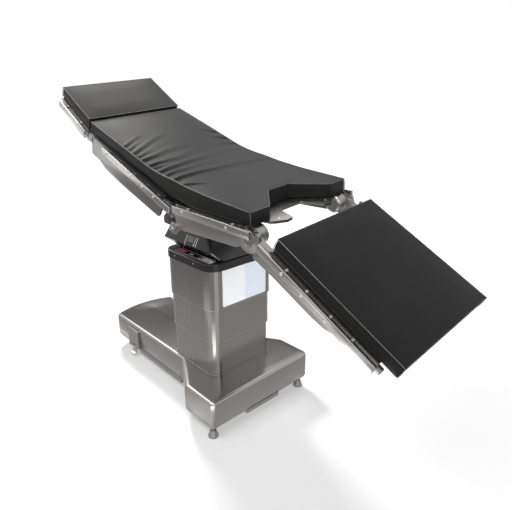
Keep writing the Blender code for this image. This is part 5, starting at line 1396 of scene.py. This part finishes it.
# Welt colour: pale grey painted on the black welt as a painted highlight, patchy at random.
welt_highlight_vinyl, tree, shader = new_material("welt_highlight_vinyl")
welt_sheen_patches = noise_at(tree, EVEN, 25.0)
set_sockets(tree, shader, {
    "Base Color": colour_mix(tree, welt_sheen_patches, (0.05, 0.049, 0.048), (0.11, 0.108, 0.105)),
    "Roughness": spread(tree, welt_sheen_patches, 0.20, 0.34), "Specular IOR Level": 0.9})
welt_bead = bead_tree("welt_bead", welt_highlight_vinyl)


def back_point(x, z):
    """A point of the flat back section, in the seat's frame at rest."""
    return Vector((
        HINGE_PLACE[0] + x * math.cos(REST_BACK) + z * math.sin(REST_BACK),
        HINGE_PLACE[1] - x * math.sin(REST_BACK) + z * math.cos(REST_BACK),
    ))


LONG_ROWS = 140
BACK_SPOTS = (
    (-0.6675, 0.1000, 0.0490), (-0.5450, 0.1048, 0.0490), (-0.4200, 0.1098, 0.0492),
    (-0.2950, 0.1146, 0.0570), (-0.1750, 0.1195, 0.0680),
)
SEAT_SPOTS = (
    (-0.030, 0.2490, 0.1760), (0.060, 0.2370, 0.1600), (0.154, 0.2228, 0.1440),
    (0.284, 0.2097, 0.1440), (0.390, 0.2030, 0.1440), (0.499, 0.1962, 0.1440),
)
long_tops, long_bottoms = (
    smooth_through(
        [back_point(spot[0], spot[k]) for spot in BACK_SPOTS]
        + [Vector((spot[0], spot[k])) for spot in SEAT_SPOTS], LONG_ROWS)
    for k in (1, 2))
NOTCH_START_X = 0.381
NOTCH_BACK_HALF = 0.055
NOTCH_MOUTH_HALF = 0.163
notch_row = min(range(LONG_ROWS), key=lambda i: abs(long_tops[i].x - NOTCH_START_X))
long_pad, long_welts = build_pad(
    "long_pad", seat_frame, long_tops, long_bottoms, (notch_row, NOTCH_BACK_HALF, NOTCH_MOUTH_HALF))
swell(long_pad)
crease_cover(long_pad, seat_turn @ Vector((0.12, 0.0, 0.99)))


def dress_pad(pad, *nodes):
    pad.data.materials.clear()
    pad.data.materials.append(pad_vinyl)
    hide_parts(*nodes)


dress_pad(long_pad, "seat_pad", "pad_bend", "back_pad")
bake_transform(long_pad)
long_welt = lay_beads("long_pad_welt", long_welts, welt_bead, WELT_RADIUS, None)
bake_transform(long_welt)


def flat_pad(name, place, x_head, x_foot, low, body, node):
    rows = round((x_foot - x_head) / PAD_CELL)
    tops = [Vector((x_head + (x_foot - x_head) * i / rows, low + PAD_THICKNESS)) for i in range(rows + 1)]
    pad, welts = build_pad(name, place, tops, [Vector((v.x, low + 0.0003)) for v in tops])
    swell(pad)
    dress_pad(pad, node)
    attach(pad, body)
    lay_beads(name + "_welt", welts, welt_bead, WELT_RADIUS, body)


flat_pad("head_cushion", head_frame, -0.3185, -0.0430, 0.0253, "head", "head_pad")
flat_pad("leg_cushion", leg_frame, 0.1026, 0.6280, 0.0388, "leg", "leg_pad")
